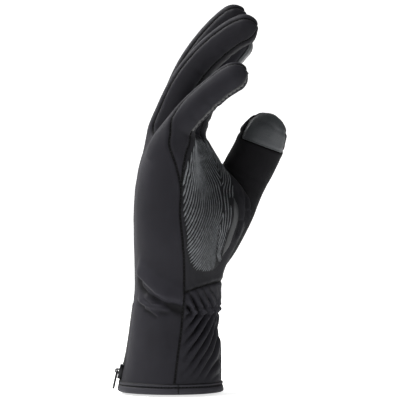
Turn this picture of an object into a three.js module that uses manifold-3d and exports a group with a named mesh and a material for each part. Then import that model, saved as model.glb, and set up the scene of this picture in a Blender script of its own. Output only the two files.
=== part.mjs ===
// A thin cold-weather riding glove for the right hand, filled out as if worn.
// Fingers point up (+Z), the palm faces +X, the thumb side is +Y and the little finger side is -Y.
// The origin is the centre of the hand opening, at the lower edge of the hem.
import * as THREE from "three";
import { mergeVertices } from "three/addons/utils/BufferGeometryUtils.js";
import Module from "manifold-3d";

const wasm = await Module();
wasm.setup();

// Driving dimensions, in millimetres.
const HAND_HEIGHT = 152; // hem to the roots of the fingers
const HAND_WIDTH = 88; // little finger side to thumb side, across the palm
const HAND_DEPTH = 60; // back to palm
const LITTLE_LENGTH = 78; // each digit is measured from its knuckle inside the hand to its tip
const RING_LENGTH = 108.5;
const MIDDLE_LENGTH = 110;
const INDEX_LENGTH = 92;
const THUMB_LENGTH = 108;
const FINGER_DEPTH = 20; // back to pad, at the middle of a finger
const THUMB_WIDTH = 30.5;
const THUMB_DEPTH = 23;
const WALL = 1.6; // outer fabric, membrane and fleece together
const SEAM_GAP = 0.3; // clearance between neighbouring panels
const HEM_HEIGHT = 7;
const HEM_BULGE = 0.7; // how far the rolled hem stands proud of the cuff
const WRIST_SEAM_HEIGHT = 62; // where the palm panel ends, at the little finger side
const WRIST_SEAM_RISE = 0.4; // rise of that seam for each millimetre towards the palm
const GATHER_DEPTH = 2.2; // ripples that the wrist elastic pulls into the cuff
const GATHER_COUNT = 12;
const PRINT_THICKNESS = 0.5;
const TIP_CAP_LENGTH = 27; // touch pads on the thumb and index finger
const ZIP_LENGTH = 56;
const ZIP_SLOT_WIDTH = 8.4;
const ZIP_CHAIN_WIDTH = 3.8;
const ZIP_CHAIN_THICKNESS = 1.6;
const ZIP_SINK = 0.9; // how far the back of the teeth lies below the cuff's surface
const ZIP_TOOTH_PITCH = 2.8;
const ZIP_TAPE_THICKNESS = 0.6;
const ZIP_TURN = 0.28; // where the zip lies round the cuff: landmarks past the middle of the back
const SLIDER_LENGTH = 9;
const SLIDER_WIDTH = 7.2;
const SLIDER_HEIGHT = 12; // middle of the slider above the hem's edge, with the zip closed
const SLIDER_PLATE = 0.9;
const BAIL_WIDTH = 2;
const BAIL_WALL = 0.7;
const PIN_RADIUS = 0.6;
const PULL_LENGTH = 12;
const PULL_WIDTH = 5.6;
const PULL_THICKNESS = 1.3;
const SWING_CLEARANCE = 0.35; // round the pin, beside the bail and over the slider

// The hand and cuff. A row is one level section. height is a share of HAND_HEIGHT. Each ring passes
// through eight landmarks, in this order: back, backUlnar, ulnar, heel, hollow, thenar, radial and
// backRadial. x values are shares of HAND_DEPTH and y values of HAND_WIDTH. The last four columns say
// where the seams cross the ring, counted in landmarks from the middle of the back.
const HAND_ROWS = [
  { height: -0.02, backX: -0.56, backY: 0.0, backUlnarX: -0.387, backUlnarY: -0.262, ulnarX: 0.0,
    ulnarY: -0.372, heelX: 0.375, heelY: -0.262, hollowX: 0.527, hollowY: 0.0,
    thenarX: 0.375, thenarY: 0.262, radialX: 0.0, radialY: 0.372, backRadialX: -0.375, backRadialY: 0.262,
    ulnarBack: 2.36, ulnarPalm: 2.36, radialPalm: 5.8, radialBack: 5.8 },
  { height: 0.046, backX: -0.538, backY: 0.0, backUlnarX: -0.37, backUlnarY: -0.259, ulnarX: 0.0,
    ulnarY: -0.368, heelX: 0.37, heelY: -0.259, hollowX: 0.515, hollowY: 0.0,
    thenarX: 0.37, thenarY: 0.259, radialX: 0.0, radialY: 0.368, backRadialX: -0.36, backRadialY: 0.259,
    ulnarBack: 2.37, ulnarPalm: 2.37, radialPalm: 5.78, radialBack: 5.78 },
  { height: 0.167, backX: -0.467, backY: 0.0, backUlnarX: -0.32, backUlnarY: -0.255, ulnarX: 0.013,
    ulnarY: -0.36, heelX: 0.358, heelY: -0.253, hollowX: 0.496, hollowY: 0.0,
    thenarX: 0.358, thenarY: 0.253, radialX: 0.013, radialY: 0.36, backRadialX: -0.32, backRadialY: 0.255,
    ulnarBack: 2.45, ulnarPalm: 2.45, radialPalm: 5.7, radialBack: 5.7 },
  { height: 0.296, backX: -0.414, backY: 0.0, backUlnarX: -0.29, backUlnarY: -0.247, ulnarX: 0.035,
    ulnarY: -0.347, heelX: 0.34, heelY: -0.24, hollowX: 0.462, hollowY: 0.0,
    thenarX: 0.338, thenarY: 0.242, radialX: 0.035, radialY: 0.347, backRadialX: -0.29, backRadialY: 0.247,
    ulnarBack: 2.54, ulnarPalm: 2.54, radialPalm: 5.6, radialBack: 5.6 },
  { height: 0.408, backX: -0.38, backY: 0.01, backUlnarX: -0.265, backUlnarY: -0.262, ulnarX: 0.03,
    ulnarY: -0.37, heelX: 0.36, heelY: -0.268, hollowX: 0.49, hollowY: -0.01,
    thenarX: 0.42, thenarY: 0.2, radialX: 0.09, radialY: 0.37, backRadialX: -0.26, backRadialY: 0.268,
    ulnarBack: 2.59, ulnarPalm: 2.59, radialPalm: 5.75, radialBack: 5.75 },
  { height: 0.526, backX: -0.378, backY: 0.03, backUlnarX: -0.262, backUlnarY: -0.3, ulnarX: 0.02,
    ulnarY: -0.412, heelX: 0.365, heelY: -0.315, hollowX: 0.475, hollowY: -0.03,
    thenarX: 0.53, thenarY: 0.17, radialX: 0.17, radialY: 0.41, backRadialX: -0.235, backRadialY: 0.31,
    ulnarBack: 2.63, ulnarPalm: 2.63, radialPalm: 6.0, radialBack: 6.0 },
  { height: 0.625, backX: -0.387, backY: 0.045, backUlnarX: -0.26, backUlnarY: -0.335, ulnarX: 0.03,
    ulnarY: -0.455, heelX: 0.37, heelY: -0.345, hollowX: 0.5, hollowY: -0.045,
    thenarX: 0.665, thenarY: 0.18, radialX: 0.21, radialY: 0.455, backRadialX: -0.235, backRadialY: 0.36,
    ulnarBack: 2.6, ulnarPalm: 2.6, radialPalm: 6.1, radialBack: 6.1 },
  { height: 0.724, backX: -0.39, backY: 0.057, backUlnarX: -0.258, backUlnarY: -0.355, ulnarX: 0.035,
    ulnarY: -0.477, heelX: 0.345, heelY: -0.36, hollowX: 0.515, hollowY: -0.055,
    thenarX: 0.76, thenarY: 0.2, radialX: 0.25, radialY: 0.475, backRadialX: -0.235, backRadialY: 0.387,
    ulnarBack: 2.6, ulnarPalm: 2.6, radialPalm: 6.15, radialBack: 6.15 },
  { height: 0.822, backX: -0.383, backY: 0.068, backUlnarX: -0.232, backUlnarY: -0.365, ulnarX: 0.055,
    ulnarY: -0.488, heelX: 0.33, heelY: -0.365, hollowX: 0.42, hollowY: -0.05,
    thenarX: 0.68, thenarY: 0.26, radialX: 0.24, radialY: 0.49, backRadialX: -0.215, backRadialY: 0.4,
    ulnarBack: 2.62, ulnarPalm: 2.62, radialPalm: 6.2, radialBack: 6.2 },
  { height: 0.921, backX: -0.35, backY: 0.08, backUlnarX: -0.17, backUlnarY: -0.375, ulnarX: 0.085,
    ulnarY: -0.494, heelX: 0.345, heelY: -0.365, hollowX: 0.325, hollowY: -0.045,
    thenarX: 0.45, thenarY: 0.315, radialX: 0.165, radialY: 0.5, backRadialX: -0.165, backRadialY: 0.41,
    ulnarBack: 2.38, ulnarPalm: 2.72, radialPalm: 5.75, radialBack: 6.2 },
  { height: 1.0, backX: -0.296, backY: 0.09, backUlnarX: -0.095, backUlnarY: -0.375, ulnarX: 0.125,
    ulnarY: -0.488, heelX: 0.36, heelY: -0.365, hollowX: 0.25, hollowY: -0.035,
    thenarX: 0.315, thenarY: 0.34, radialX: 0.095, radialY: 0.49, backRadialX: -0.115, backRadialY: 0.41,
    ulnarBack: 2.05, ulnarPalm: 2.75, radialPalm: 5.6, radialBack: 6.35 },
  { height: 1.045, backX: -0.235, backY: 0.09, backUlnarX: -0.02, backUlnarY: -0.35, ulnarX: 0.15,
    ulnarY: -0.44, heelX: 0.355, heelY: -0.345, hollowX: 0.205, hollowY: -0.03,
    thenarX: 0.25, thenarY: 0.33, radialX: 0.08, radialY: 0.45, backRadialX: -0.06, backRadialY: 0.38,
    ulnarBack: 1.95, ulnarPalm: 2.8, radialPalm: 5.6, radialBack: 6.4 },
];
const LANDMARKS = ["back", "backUlnar", "ulnar", "heel", "hollow", "thenar", "radial", "backRadial"];

// Folds across the back of the wrist, top to bottom. back and side are the heights of a fold at the middle
// of the back and at the side seams, as shares of HAND_HEIGHT. rise and width are millimetres.
const BACK_FOLDS = [
  { back: 0.52, side: 0.375, rise: 1.5, width: 7 },
  { back: 0.455, side: 0.335, rise: 1.2, width: 6 },
  { back: 0.4, side: 0.31, rise: 1.0, width: 6 },
];
// The gathers, as shares of HAND_HEIGHT: where they start below, are deepest and end above.
const GATHER_BOTTOM = 0.1;
const GATHER_WAIST = 0.3;
const GATHER_TOP = 0.47;
const GATHER_LEAN = 0.012; // landmarks that the ripples drift for each millimetre below the waist

// The digits. A row is one section. along is a share of the digit's length. lean is the angle from upright
// towards the palm and spread the angle towards the thumb side, in degrees. width and depth are shares of
// the digit's own width and depth.
const LITTLE_ROWS = [
  { along: 0.0, lean: 24, spread: 0, width: 0.7, depth: 0.72 },
  { along: 0.14, lean: 31, spread: 0, width: 0.95, depth: 0.93 },
  { along: 0.27, lean: 38, spread: -1, width: 0.97, depth: 0.9 },
  { along: 0.42, lean: 44, spread: -1, width: 0.95, depth: 0.88 },
  { along: 0.6, lean: 49, spread: 1, width: 0.92, depth: 0.86 },
  { along: 0.77, lean: 53, spread: 2, width: 0.9, depth: 0.86 },
  { along: 0.9, lean: 63, spread: 2, width: 0.88, depth: 0.87 },
  { along: 1.0, lean: 80, spread: 2, width: 0.85, depth: 0.84 },
];
const RING_ROWS = [
  { along: 0.0, lean: 13, spread: 0, width: 0.74, depth: 0.74 },
  { along: 0.14, lean: 16, spread: 0, width: 1.0, depth: 1.18 },
  { along: 0.3, lean: 21, spread: 0, width: 1.01, depth: 1.06 },
  { along: 0.45, lean: 30, spread: 1, width: 1.0, depth: 1.0 },
  { along: 0.6, lean: 42, spread: 1, width: 0.98, depth: 0.98 },
  { along: 0.74, lean: 50, spread: 1, width: 0.96, depth: 0.97 },
  { along: 0.87, lean: 62, spread: 1, width: 0.93, depth: 0.97 },
  { along: 1.0, lean: 92, spread: 1, width: 0.9, depth: 0.95 },
];
const MIDDLE_ROWS = [
  { along: 0.0, lean: 12, spread: 0, width: 0.74, depth: 0.74 },
  { along: 0.14, lean: 16, spread: 0, width: 1.01, depth: 1.2 },
  { along: 0.3, lean: 19.5, spread: 0, width: 1.02, depth: 1.1 },
  { along: 0.45, lean: 24, spread: 0, width: 1.01, depth: 1.05 },
  { along: 0.6, lean: 32, spread: 0, width: 0.98, depth: 1.02 },
  { along: 0.74, lean: 41, spread: 0, width: 0.96, depth: 0.99 },
  { along: 0.88, lean: 49, spread: 0, width: 0.94, depth: 0.96 },
  { along: 1.0, lean: 66, spread: 0, width: 0.92, depth: 0.92 },
];
const INDEX_ROWS = [
  { along: 0.0, lean: 14, spread: 0, width: 0.74, depth: 0.72 },
  { along: 0.14, lean: 17, spread: 0, width: 1.0, depth: 1.06 },
  { along: 0.3, lean: 21, spread: 0, width: 1.01, depth: 1.02 },
  { along: 0.45, lean: 27, spread: -1, width: 0.99, depth: 0.98 },
  { along: 0.6, lean: 33, spread: -2, width: 0.97, depth: 0.96 },
  { along: 0.76, lean: 38, spread: -2, width: 0.95, depth: 0.95 },
  { along: 0.9, lean: 43, spread: -2, width: 0.93, depth: 0.94 },
  { along: 1.0, lean: 52, spread: -2, width: 0.92, depth: 0.92 },
];
const THUMB_ROWS = [
  { along: 0.0, lean: 26, spread: 26, width: 0.78, depth: 1.0 },
  { along: 0.16, lean: 24, spread: 18, width: 1.0, depth: 1.06 },
  { along: 0.34, lean: 24, spread: 9, width: 1.06, depth: 1.1 },
  { along: 0.54, lean: 24, spread: 4, width: 1.03, depth: 1.03 },
  { along: 0.68, lean: 29, spread: 3, width: 1.02, depth: 1.0 },
  { along: 0.8, lean: 22, spread: 0, width: 1.0, depth: 0.97 },
  { along: 0.92, lean: 6, spread: 0, width: 0.95, depth: 0.93 },
  { along: 1.0, lean: 0, spread: 0, width: 0.9, depth: 0.88 },
];

// The palm print: from and to are landmarks round the ring, height is a share of HAND_HEIGHT.
const PRINT_ROWS = [
  { height: 0.485, from: 3.1, to: 3.75 },
  { height: 0.495, from: 2.9, to: 4.05 },
  { height: 0.52, from: 2.78, to: 4.35 },
  { height: 0.56, from: 2.7, to: 4.55 },
  { height: 0.65, from: 2.66, to: 4.7 },
  { height: 0.74, from: 2.63, to: 4.5 },
  { height: 0.8, from: 2.63, to: 4.6 },
  { height: 0.86, from: 2.66, to: 5.1 },
  { height: 0.93, from: 2.85, to: 5.4 },
  { height: 1.0, from: 3.1, to: 5.4 },
  { height: 1.03, from: 3.25, to: 5.3 },
];

const RING_STEPS_PER_LANDMARK = 4;
const LINING_STEPS_PER_LANDMARK = 3;
const CUFF_STEPS_PER_LANDMARK = 12;
const DIGIT_SIDES = 12;
const DIGIT_LINING_SIDES = 8;
const DIGIT_SPANS = 6;
const DIGIT_LINING_SPANS = 5;
const SQUARENESS = 0.86; // under 1 makes a digit's section boxier than an ellipse
const BACK_STRIP_ANGLE = 52; // degrees either side of the middle of a finger's back
const FRONT_STRIP_ANGLE = 38;
const REACH = 4; // how far a cutting sector runs past the surface that it cuts

const FINGER_WIDTH = 0.232 * HAND_WIDTH; // the four fingers share the hand's width
const KNUCKLE_HEIGHT = 0.94 * HAND_HEIGHT;

const DIGITS = {
  little: { rows: LITTLE_ROWS, length: LITTLE_LENGTH, width: FINGER_WIDTH, depth: FINGER_DEPTH,
    base: [-0.01 * HAND_DEPTH, -0.376 * HAND_WIDTH, KNUCKLE_HEIGHT], back: [-1, 0, 0] },
  ring: { rows: RING_ROWS, length: RING_LENGTH, width: FINGER_WIDTH, depth: FINGER_DEPTH,
    base: [-0.085 * HAND_DEPTH, -0.134 * HAND_WIDTH, KNUCKLE_HEIGHT], back: [-1, 0, 0] },
  middle: { rows: MIDDLE_ROWS, length: MIDDLE_LENGTH, width: FINGER_WIDTH, depth: FINGER_DEPTH,
    base: [-0.15 * HAND_DEPTH, 0.108 * HAND_WIDTH, KNUCKLE_HEIGHT], back: [-1, 0, 0] },
  index: { rows: INDEX_ROWS, length: INDEX_LENGTH, width: FINGER_WIDTH, depth: FINGER_DEPTH,
    base: [-0.025 * HAND_DEPTH, 0.352 * HAND_WIDTH, KNUCKLE_HEIGHT], back: [-1, 0, 0] },
  thumb: { rows: THUMB_ROWS, length: THUMB_LENGTH, width: THUMB_WIDTH, depth: THUMB_DEPTH,
    base: [0.2 * HAND_DEPTH, 0.295 * HAND_WIDTH, 0.5 * HAND_HEIGHT], back: [0, 1, 0] },
};
const FINGERS = ["little", "ring", "middle", "index"];

// Solids

// A closed mesh as a solid that can be joined and cut.
function solidOf(geometry) {
  const plain = geometry.clone();
  plain.deleteAttribute("normal");
  plain.deleteAttribute("uv");
  const merged = mergeVertices(plain, 1e-4);
  return new wasm.Manifold(
    new wasm.Mesh({
      numProp: 3,
      vertProperties: new Float32Array(merged.attributes.position.array),
      triVerts: new Uint32Array(merged.index.array),
    }),
  );
}

// A solid skinned over rings of equally many points. Each end is a fan from fanPoint(ring).
function loft(rings, fanPoint = middleOf) {
  const sides = rings[0].length;
  const points = rings.flat();
  const faces = [];
  for (let r = 0; r + 1 < rings.length; r++)
    for (let i = 0; i < sides; i++) {
      const a = r * sides + i;
      const b = r * sides + ((i + 1) % sides);
      faces.push(a, b, b + sides, a, b + sides, a + sides);
    }
  for (const [r, flip] of [[0, true], [rings.length - 1, false]]) {
    const hub = points.length;
    points.push(fanPoint(rings[r]));
    for (let i = 0; i < sides; i++) {
      const a = r * sides + i;
      const b = r * sides + ((i + 1) % sides);
      faces.push(...(flip ? [hub, b, a] : [hub, a, b]));
    }
  }
  const geometry = new THREE.BufferGeometry();
  const values = points.flatMap((p) => p.toArray());
  geometry.setAttribute("position", new THREE.Float32BufferAttribute(values, 3));
  geometry.setIndex(faces);
  const solid = solidOf(geometry);
  if (solid.volume() > 0) return solid;
  geometry.setIndex(faces.toReversed());
  return solidOf(geometry);
}

function middleOf(ring) {
  const sum = new THREE.Vector3();
  for (const p of ring) sum.add(p);
  return sum.divideScalar(ring.length);
}

function joined(solids) {
  return solids.reduce((all, next) => all.add(next));
}

// The largest body of a solid, without the crumbs that a cut along a seam can leave.
function mainBody(solid) {
  return solid.decompose().reduce((best, next) => (next.volume() > best.volume() ? next : best));
}

// A box given by its lowest and highest corners.
function boxBetween(low, high) {
  const size = high.map((v, i) => v - low[i]);
  const geometry = new THREE.BoxGeometry(...size);
  geometry.translate(...low.map((v, i) => v + size[i] / 2));
  return solidOf(geometry);
}

// Tables

// A uniform Catmull-Rom blend of one table's rows: position 1.5 is halfway between rows 1 and 2.
function rowAt(rows, position) {
  const last = rows.length - 1;
  const at = Math.min(Math.max(position, 0), last);
  const i = Math.min(Math.floor(at), last - 1);
  const f = at - i;
  const near = [i - 1, i, i + 1, i + 2].map((k) => rows[Math.min(Math.max(k, 0), last)]);
  const weights = [
    (-f + 2 * f * f - f * f * f) / 2,
    (2 - 5 * f * f + 3 * f * f * f) / 2,
    (f + 4 * f * f - 3 * f * f * f) / 2,
    (-f * f + f * f * f) / 2,
  ];
  const made = {};
  for (const key of Object.keys(rows[0]))
    made[key] = near.reduce((sum, row, k) => sum + weights[k] * row[key], 0);
  return made;
}

// The position in a table where a rising column reaches a value.
function positionOf(rows, column, value) {
  let low = 0;
  let high = rows.length - 1;
  for (let n = 0; n < 40; n++) {
    const mid = (low + high) / 2;
    if (rowAt(rows, mid)[column] < value) low = mid;
    else high = mid;
  }
  return (low + high) / 2;
}

// The hand and cuff

function bump(x) {
  return Math.abs(x) < 1 ? (1 + Math.cos(Math.PI * x)) / 2 : 0;
}

// How far the cloth stands out of the plain form, from folds on the back of the wrist.
function foldRise(height, turn) {
  const fromBack = Math.min(turn, LANDMARKS.length - turn);
  const across = Math.min(fromBack / 2.4, 1);
  const fade = 0.45 + 0.55 * bump(Math.max(1 - fromBack / 0.9, 0));
  let rise = 0;
  for (const fold of BACK_FOLDS) {
    const line = (fold.back + (fold.side - fold.back) * across) * HAND_HEIGHT;
    const ends = bump(Math.max(fromBack - 1.9, 0) / 0.9);
    rise += fold.rise * fade * ends * bump((height - line) / (fold.width / 2));
  }
  return rise;
}

// Ripples of the gathered cuff front.
function gatherRise(height, turn) {
  const share = height / HAND_HEIGHT;
  const strength =
    share < GATHER_WAIST
      ? bump((share - GATHER_WAIST) / (GATHER_WAIST - GATHER_BOTTOM))
      : bump((share - GATHER_WAIST) / (GATHER_TOP - GATHER_WAIST));
  const drift = GATHER_LEAN * Math.max(GATHER_WAIST * HAND_HEIGHT - height, 0);
  const wave = (1 + Math.cos(2 * Math.PI * GATHER_COUNT * ((turn + drift) / 4))) / 2;
  const ramp = (turns) => Math.min(Math.max(turns / 0.35, 0), 1);
  const side = ramp(turn - 2.3) * ramp(5.75 - turn);
  return GATHER_DEPTH * strength * wave * side;
}

// A ring's curve through the eight landmarks at a position in HAND_ROWS.
function handCurve(position) {
  const row = rowAt(HAND_ROWS, position);
  const z = row.height * HAND_HEIGHT;
  const points = LANDMARKS.map(
    (name) => new THREE.Vector3(row[name + "X"] * HAND_DEPTH, row[name + "Y"] * HAND_WIDTH, z),
  );
  return new THREE.CatmullRomCurve3(points, true, "catmullrom", 0.5);
}

// A point of the hand at a turn round the ring, moved outwards by grow.
function handPoint(curve, turn, grow) {
  const share = (((turn / LANDMARKS.length) % 1) + 1) % 1;
  const point = curve.getPoint(share);
  const along = curve.getTangent(share);
  return point.add(new THREE.Vector3(along.y, -along.x, 0).normalize().multiplyScalar(grow));
}

// Positions in HAND_ROWS for a list of heights in millimetres.
function handPositions(heights) {
  return heights.map((h) => positionOf(HAND_ROWS, "height", h / HAND_HEIGHT));
}

// Evenly spaced values from a to b.
function spaced(a, b, count) {
  return Array.from({ length: count + 1 }, (_, i) => a + ((b - a) * i) / count);
}

const HAND_FOOT = HAND_ROWS[0].height * HAND_HEIGHT;
const HAND_TOP = HAND_ROWS.at(-1).height * HAND_HEIGHT;
const HAND_LEVELS = [
  ...spaced(HAND_FOOT, 0.23 * HAND_HEIGHT, 3),
  ...spaced(0.28 * HAND_HEIGHT, 0.53 * HAND_HEIGHT, 7),
  ...spaced(0.6 * HAND_HEIGHT, HAND_TOP, 5),
];
const LINING_LEVELS = spaced(HAND_FOOT, HAND_TOP - WALL, 6);
const CUFF_LEVELS = spaced(0, 0.56 * HAND_HEIGHT, 7);

// The hand as a solid, grown by grow, with raised(height, turn) added to its outside.
function handSolid(levels, stepsPerLandmark, grow, raised = () => 0) {
  const turns = spaced(0, LANDMARKS.length, LANDMARKS.length * stepsPerLandmark).slice(0, -1);
  const rings = handPositions(levels).map((position, level) => {
    const curve = handCurve(position);
    return turns.map((turn) => handPoint(curve, turn, grow + raised(levels[level], turn)));
  });
  return loft(rings);
}

// A wedge of the hand between two turns, from its middle out past its surface, for cutting panels.
function handSector(rows, from, to, reach = REACH) {
  const steps = 8;
  const rings = rows.map((row) => {
    const curve = handCurve(positionOf(HAND_ROWS, "height", row.height));
    const hub = middleOf(LANDMARKS.map((_, i) => handPoint(curve, i, 0)));
    return [hub, ...spaced(from(row), to(row), steps).map((turn) => handPoint(curve, turn, reach))];
  });
  return loft(rings, (ring) => ring[0].clone().lerp(ring[steps / 2], 0.3));
}

// Turns that a width in millimetres takes up on the ring.
const TURNS_PER_MM = LANDMARKS.length / (2.5 * HAND_WIDTH);

// The digits

function digitFrame(digit, along) {
  const steps = 40;
  const centre = new THREE.Vector3(...digit.base);
  const heading = new THREE.Vector3();
  for (let n = 0; n <= steps; n++) {
    const share = (along * (n + 0.5)) / steps;
    const row = rowAt(digit.rows, positionOf(digit.rows, "along", n === steps ? along : share));
    const lean = THREE.MathUtils.degToRad(row.lean);
    const spread = THREE.MathUtils.degToRad(row.spread);
    heading.set(Math.sin(lean) * Math.cos(spread), Math.sin(spread), Math.cos(lean) * Math.cos(spread));
    if (n < steps) centre.addScaledVector(heading, (along * digit.length) / steps);
  }
  const back = new THREE.Vector3(...digit.back);
  if (digit.back[0]) back.set(-heading.z, 0, heading.x);
  back.addScaledVector(heading, -back.dot(heading)).normalize();
  return { centre, heading, back, side: new THREE.Vector3().crossVectors(back, heading) };
}

// A point of a digit's section. Angle 0 is the middle of its back.
function digitPoint(digit, frame, row, angle, shrink, grow) {
  const power = (v) => Math.sign(v) * Math.abs(v) ** SQUARENESS;
  const across = (row.width * digit.width * shrink) / 2 + grow;
  const deep = (row.depth * digit.depth * shrink) / 2 + grow;
  return frame.centre
    .clone()
    .addScaledVector(frame.side, across * power(Math.sin(angle)))
    .addScaledVector(frame.back, deep * power(Math.cos(angle)));
}

const TIP_STATIONS = [0.4, 0.72, 0.93]; // along the rounded tip, as shares of its length
const tipShare = (digit) => (0.46 * digit.width) / digit.length;
const digitStations = (digit, spans = DIGIT_SPANS) => spaced(0, 1 - tipShare(digit), spans);

// A digit as a solid, grown by grow. Its tip is rounded over half a width.
function digitSolid(digit, grow, sides = DIGIT_SIDES, spans = DIGIT_SPANS) {
  const tip = tipShare(digit);
  const angles = spaced(0, 2 * Math.PI, sides).slice(0, -1);
  const ring = (along, shrink, swell) => {
    const frame = digitFrame(digit, along);
    const row = rowAt(digit.rows, positionOf(digit.rows, "along", along));
    return angles.map((angle) => digitPoint(digit, frame, row, angle, shrink, swell));
  };
  const rings = digitStations(digit, spans).map((along) => ring(along, 1, grow));
  const reach = tip + grow / digit.length;
  for (const s of TIP_STATIONS)
    rings.push(ring(1 - tip + s * reach, Math.sqrt(1 - s * s), grow * Math.sqrt(1 - s * s)));
  const top = digitFrame(digit, 1 - tip + reach).centre;
  return loft(rings, (end) => (end === rings[0] ? middleOf(end) : top));
}

// A wedge of a digit between two angles, from its core out past its surface, for cutting panels.
function digitSector(digit, middle, halfAngle, from = 0, grow = 0) {
  const steps = 4;
  const onward = digitStations(digit).filter((along) => along > from + 0.03);
  const stations = [from, ...onward, 1, 1 + REACH / digit.length];
  const rings = stations.map((along) => {
    const frame = digitFrame(digit, along);
    const row = rowAt(digit.rows, positionOf(digit.rows, "along", along));
    const hub = frame.centre.clone();
    hub.addScaledVector(frame.back, -grow * Math.cos(middle));
    hub.addScaledVector(frame.side, -grow * Math.sin(middle));
    const half = halfAngle + grow / (row.width * digit.width * 0.5);
    const rim = spaced(middle - half, middle + half, steps);
    return [hub, ...rim.map((angle) => digitPoint(digit, frame, row, angle, 1, 1 + grow))];
  });
  return loft(rings, (ring) => ring[0].clone().lerp(ring[1 + steps / 2], 0.3));
}

// The plain forms that every panel is cut from

const handOuter = handSolid(HAND_LEVELS, RING_STEPS_PER_LANDMARK, 0, foldRise);
const handLining = handSolid(LINING_LEVELS, LINING_STEPS_PER_LANDMARK, -WALL);
const digitOuter = {};
const digitLining = {};
for (const [name, digit] of Object.entries(DIGITS)) {
  digitOuter[name] = digitSolid(digit, 0);
  digitLining[name] = digitSolid(digit, -WALL, DIGIT_LINING_SIDES, DIGIT_LINING_SPANS);
}
const lining = joined([handLining, ...Object.values(digitLining)]);
const fingersOuter = joined(FINGERS.map((name) => digitOuter[name]));
const skin = handOuter.add(fingersOuter).subtract(lining);
const hemCut = boxBetween(
  [-2 * HAND_DEPTH, -2 * HAND_WIDTH, -HAND_HEIGHT],
  [2 * HAND_DEPTH, 2 * HAND_WIDTH, HEM_HEIGHT + SEAM_GAP],
);

// The slot for the zip, and points on the line up its middle.
const zipCurve = (height) => handCurve(positionOf(HAND_ROWS, "height", height / HAND_HEIGHT));
const ZIP_Y = handPoint(zipCurve(ZIP_LENGTH / 2), ZIP_TURN, 0).y;
const zipSlot = boxBetween(
  [-2 * HAND_DEPTH, ZIP_Y - ZIP_SLOT_WIDTH / 2, -HAND_HEIGHT],
  [-0.2 * HAND_DEPTH, ZIP_Y + ZIP_SLOT_WIDTH / 2, ZIP_LENGTH],
);

// The floor of the gaps between the fingers, which the fourchettes share out. It leaves the middle of each
// finger, where the back and palm panels run on into the finger.
const webFloor = loft(
  [HAND_TOP - WALL - SEAM_GAP, HAND_TOP + REACH].map((height) => {
    const curve = handCurve(HAND_ROWS.length - 1);
    return spaced(0, LANDMARKS.length, 24)
      .slice(0, -1)
      .map((turn) => handPoint(curve, turn, -WALL - SEAM_GAP).setZ(height));
  }),
).subtract(
  joined(
    FINGERS.map((name) => {
      const y = DIGITS[name].base[1];
      const half = 0.3 * FINGER_WIDTH;
      return boxBetween([-HAND_DEPTH, y - half, 0], [HAND_DEPTH, y + half, 2 * HAND_HEIGHT]);
    }),
  ),
);

// The two seam lines on each side of the hand, as cutting wedges. widen opens each by that many millimetres.
const backWedge = (widen) =>
  handSector(
    HAND_ROWS,
    (row) => row.radialBack - LANDMARKS.length - widen * TURNS_PER_MM,
    (row) => row.ulnarBack + widen * TURNS_PER_MM,
  );
const palmWedge = (widen) =>
  handSector(
    HAND_ROWS,
    (row) => row.ulnarPalm - widen * TURNS_PER_MM,
    (row) => row.radialPalm + widen * TURNS_PER_MM,
  );
const BACK_HALF = THREE.MathUtils.degToRad(BACK_STRIP_ANGLE);
const FRONT_HALF = THREE.MathUtils.degToRad(FRONT_STRIP_ANGLE);
// One wedge of the hand with the strips that it runs into, up the middles of the fingers.
const withStrips = (wedge, middle, half, grow) =>
  joined([
    wedge.subtract(webFloor),
    ...FINGERS.map((name) => digitSector(DIGITS[name], middle, half, 0, grow)),
  ]);
const backs = (grow) => withStrips(backWedge(grow), 0, BACK_HALF, grow);
const fronts = (grow) => withStrips(palmWedge(grow), Math.PI, FRONT_HALF, grow);

const backZone = backs(0);
const frontZone = fronts(0).subtract(backs(SEAM_GAP));
const sideZoneCut = joined([backs(SEAM_GAP), fronts(SEAM_GAP), backZone, frontZone]);

// Materials

function cloth(colour, roughness, metalness = 0) {
  return new THREE.MeshStandardMaterial({ color: new THREE.Color(colour), roughness, metalness });
}
const SOFT_SHELL = cloth("#2d2c31", 0.75);
const PALM_FABRIC = cloth("#242428", 0.8);
const THUMB_FABRIC = cloth("#141416", 0.7);
const TOUCH_LEATHER = cloth("#3a3c3f", 0.45);
const GRIP_SILICONE = cloth("#5a5c60", 0.4);
const ZIP_BLACK = cloth("#18181b", 0.5);

const glove = new THREE.Group();

// Adds a solid to the glove as a named mesh.
function place(name, solid, material, parent = glove) {
  const mesh = solid.getMesh();
  const stride = mesh.numProp;
  const points = new Float32Array(mesh.numVert * 3);
  for (let i = 0; i < mesh.numVert; i++)
    points.set(mesh.vertProperties.subarray(i * stride, i * stride + 3), i * 3);
  const geometry = new THREE.BufferGeometry();
  geometry.setAttribute("position", new THREE.BufferAttribute(points, 3));
  geometry.setIndex(new THREE.BufferAttribute(mesh.triVerts, 1));
  geometry.computeVertexNormals();
  const made = new THREE.Mesh(geometry, material.clone());
  made.name = name;
  parent.add(made);
}

// Half the space above a plane that rises towards the palm, for the wrist seam.
function aboveWristSeam(lift) {
  const size = 6 * HAND_HEIGHT;
  const geometry = new THREE.BoxGeometry(size, size, size);
  geometry.translate(0, 0, size / 2);
  geometry.rotateY(-Math.atan(WRIST_SEAM_RISE));
  geometry.translate(0.24 * HAND_DEPTH, 0, WRIST_SEAM_HEIGHT + lift);
  return solidOf(geometry);
}

// Back panel
place("back_panel", mainBody(skin.intersect(backZone).subtract(hemCut).subtract(zipSlot)), SOFT_SHELL);

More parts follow.
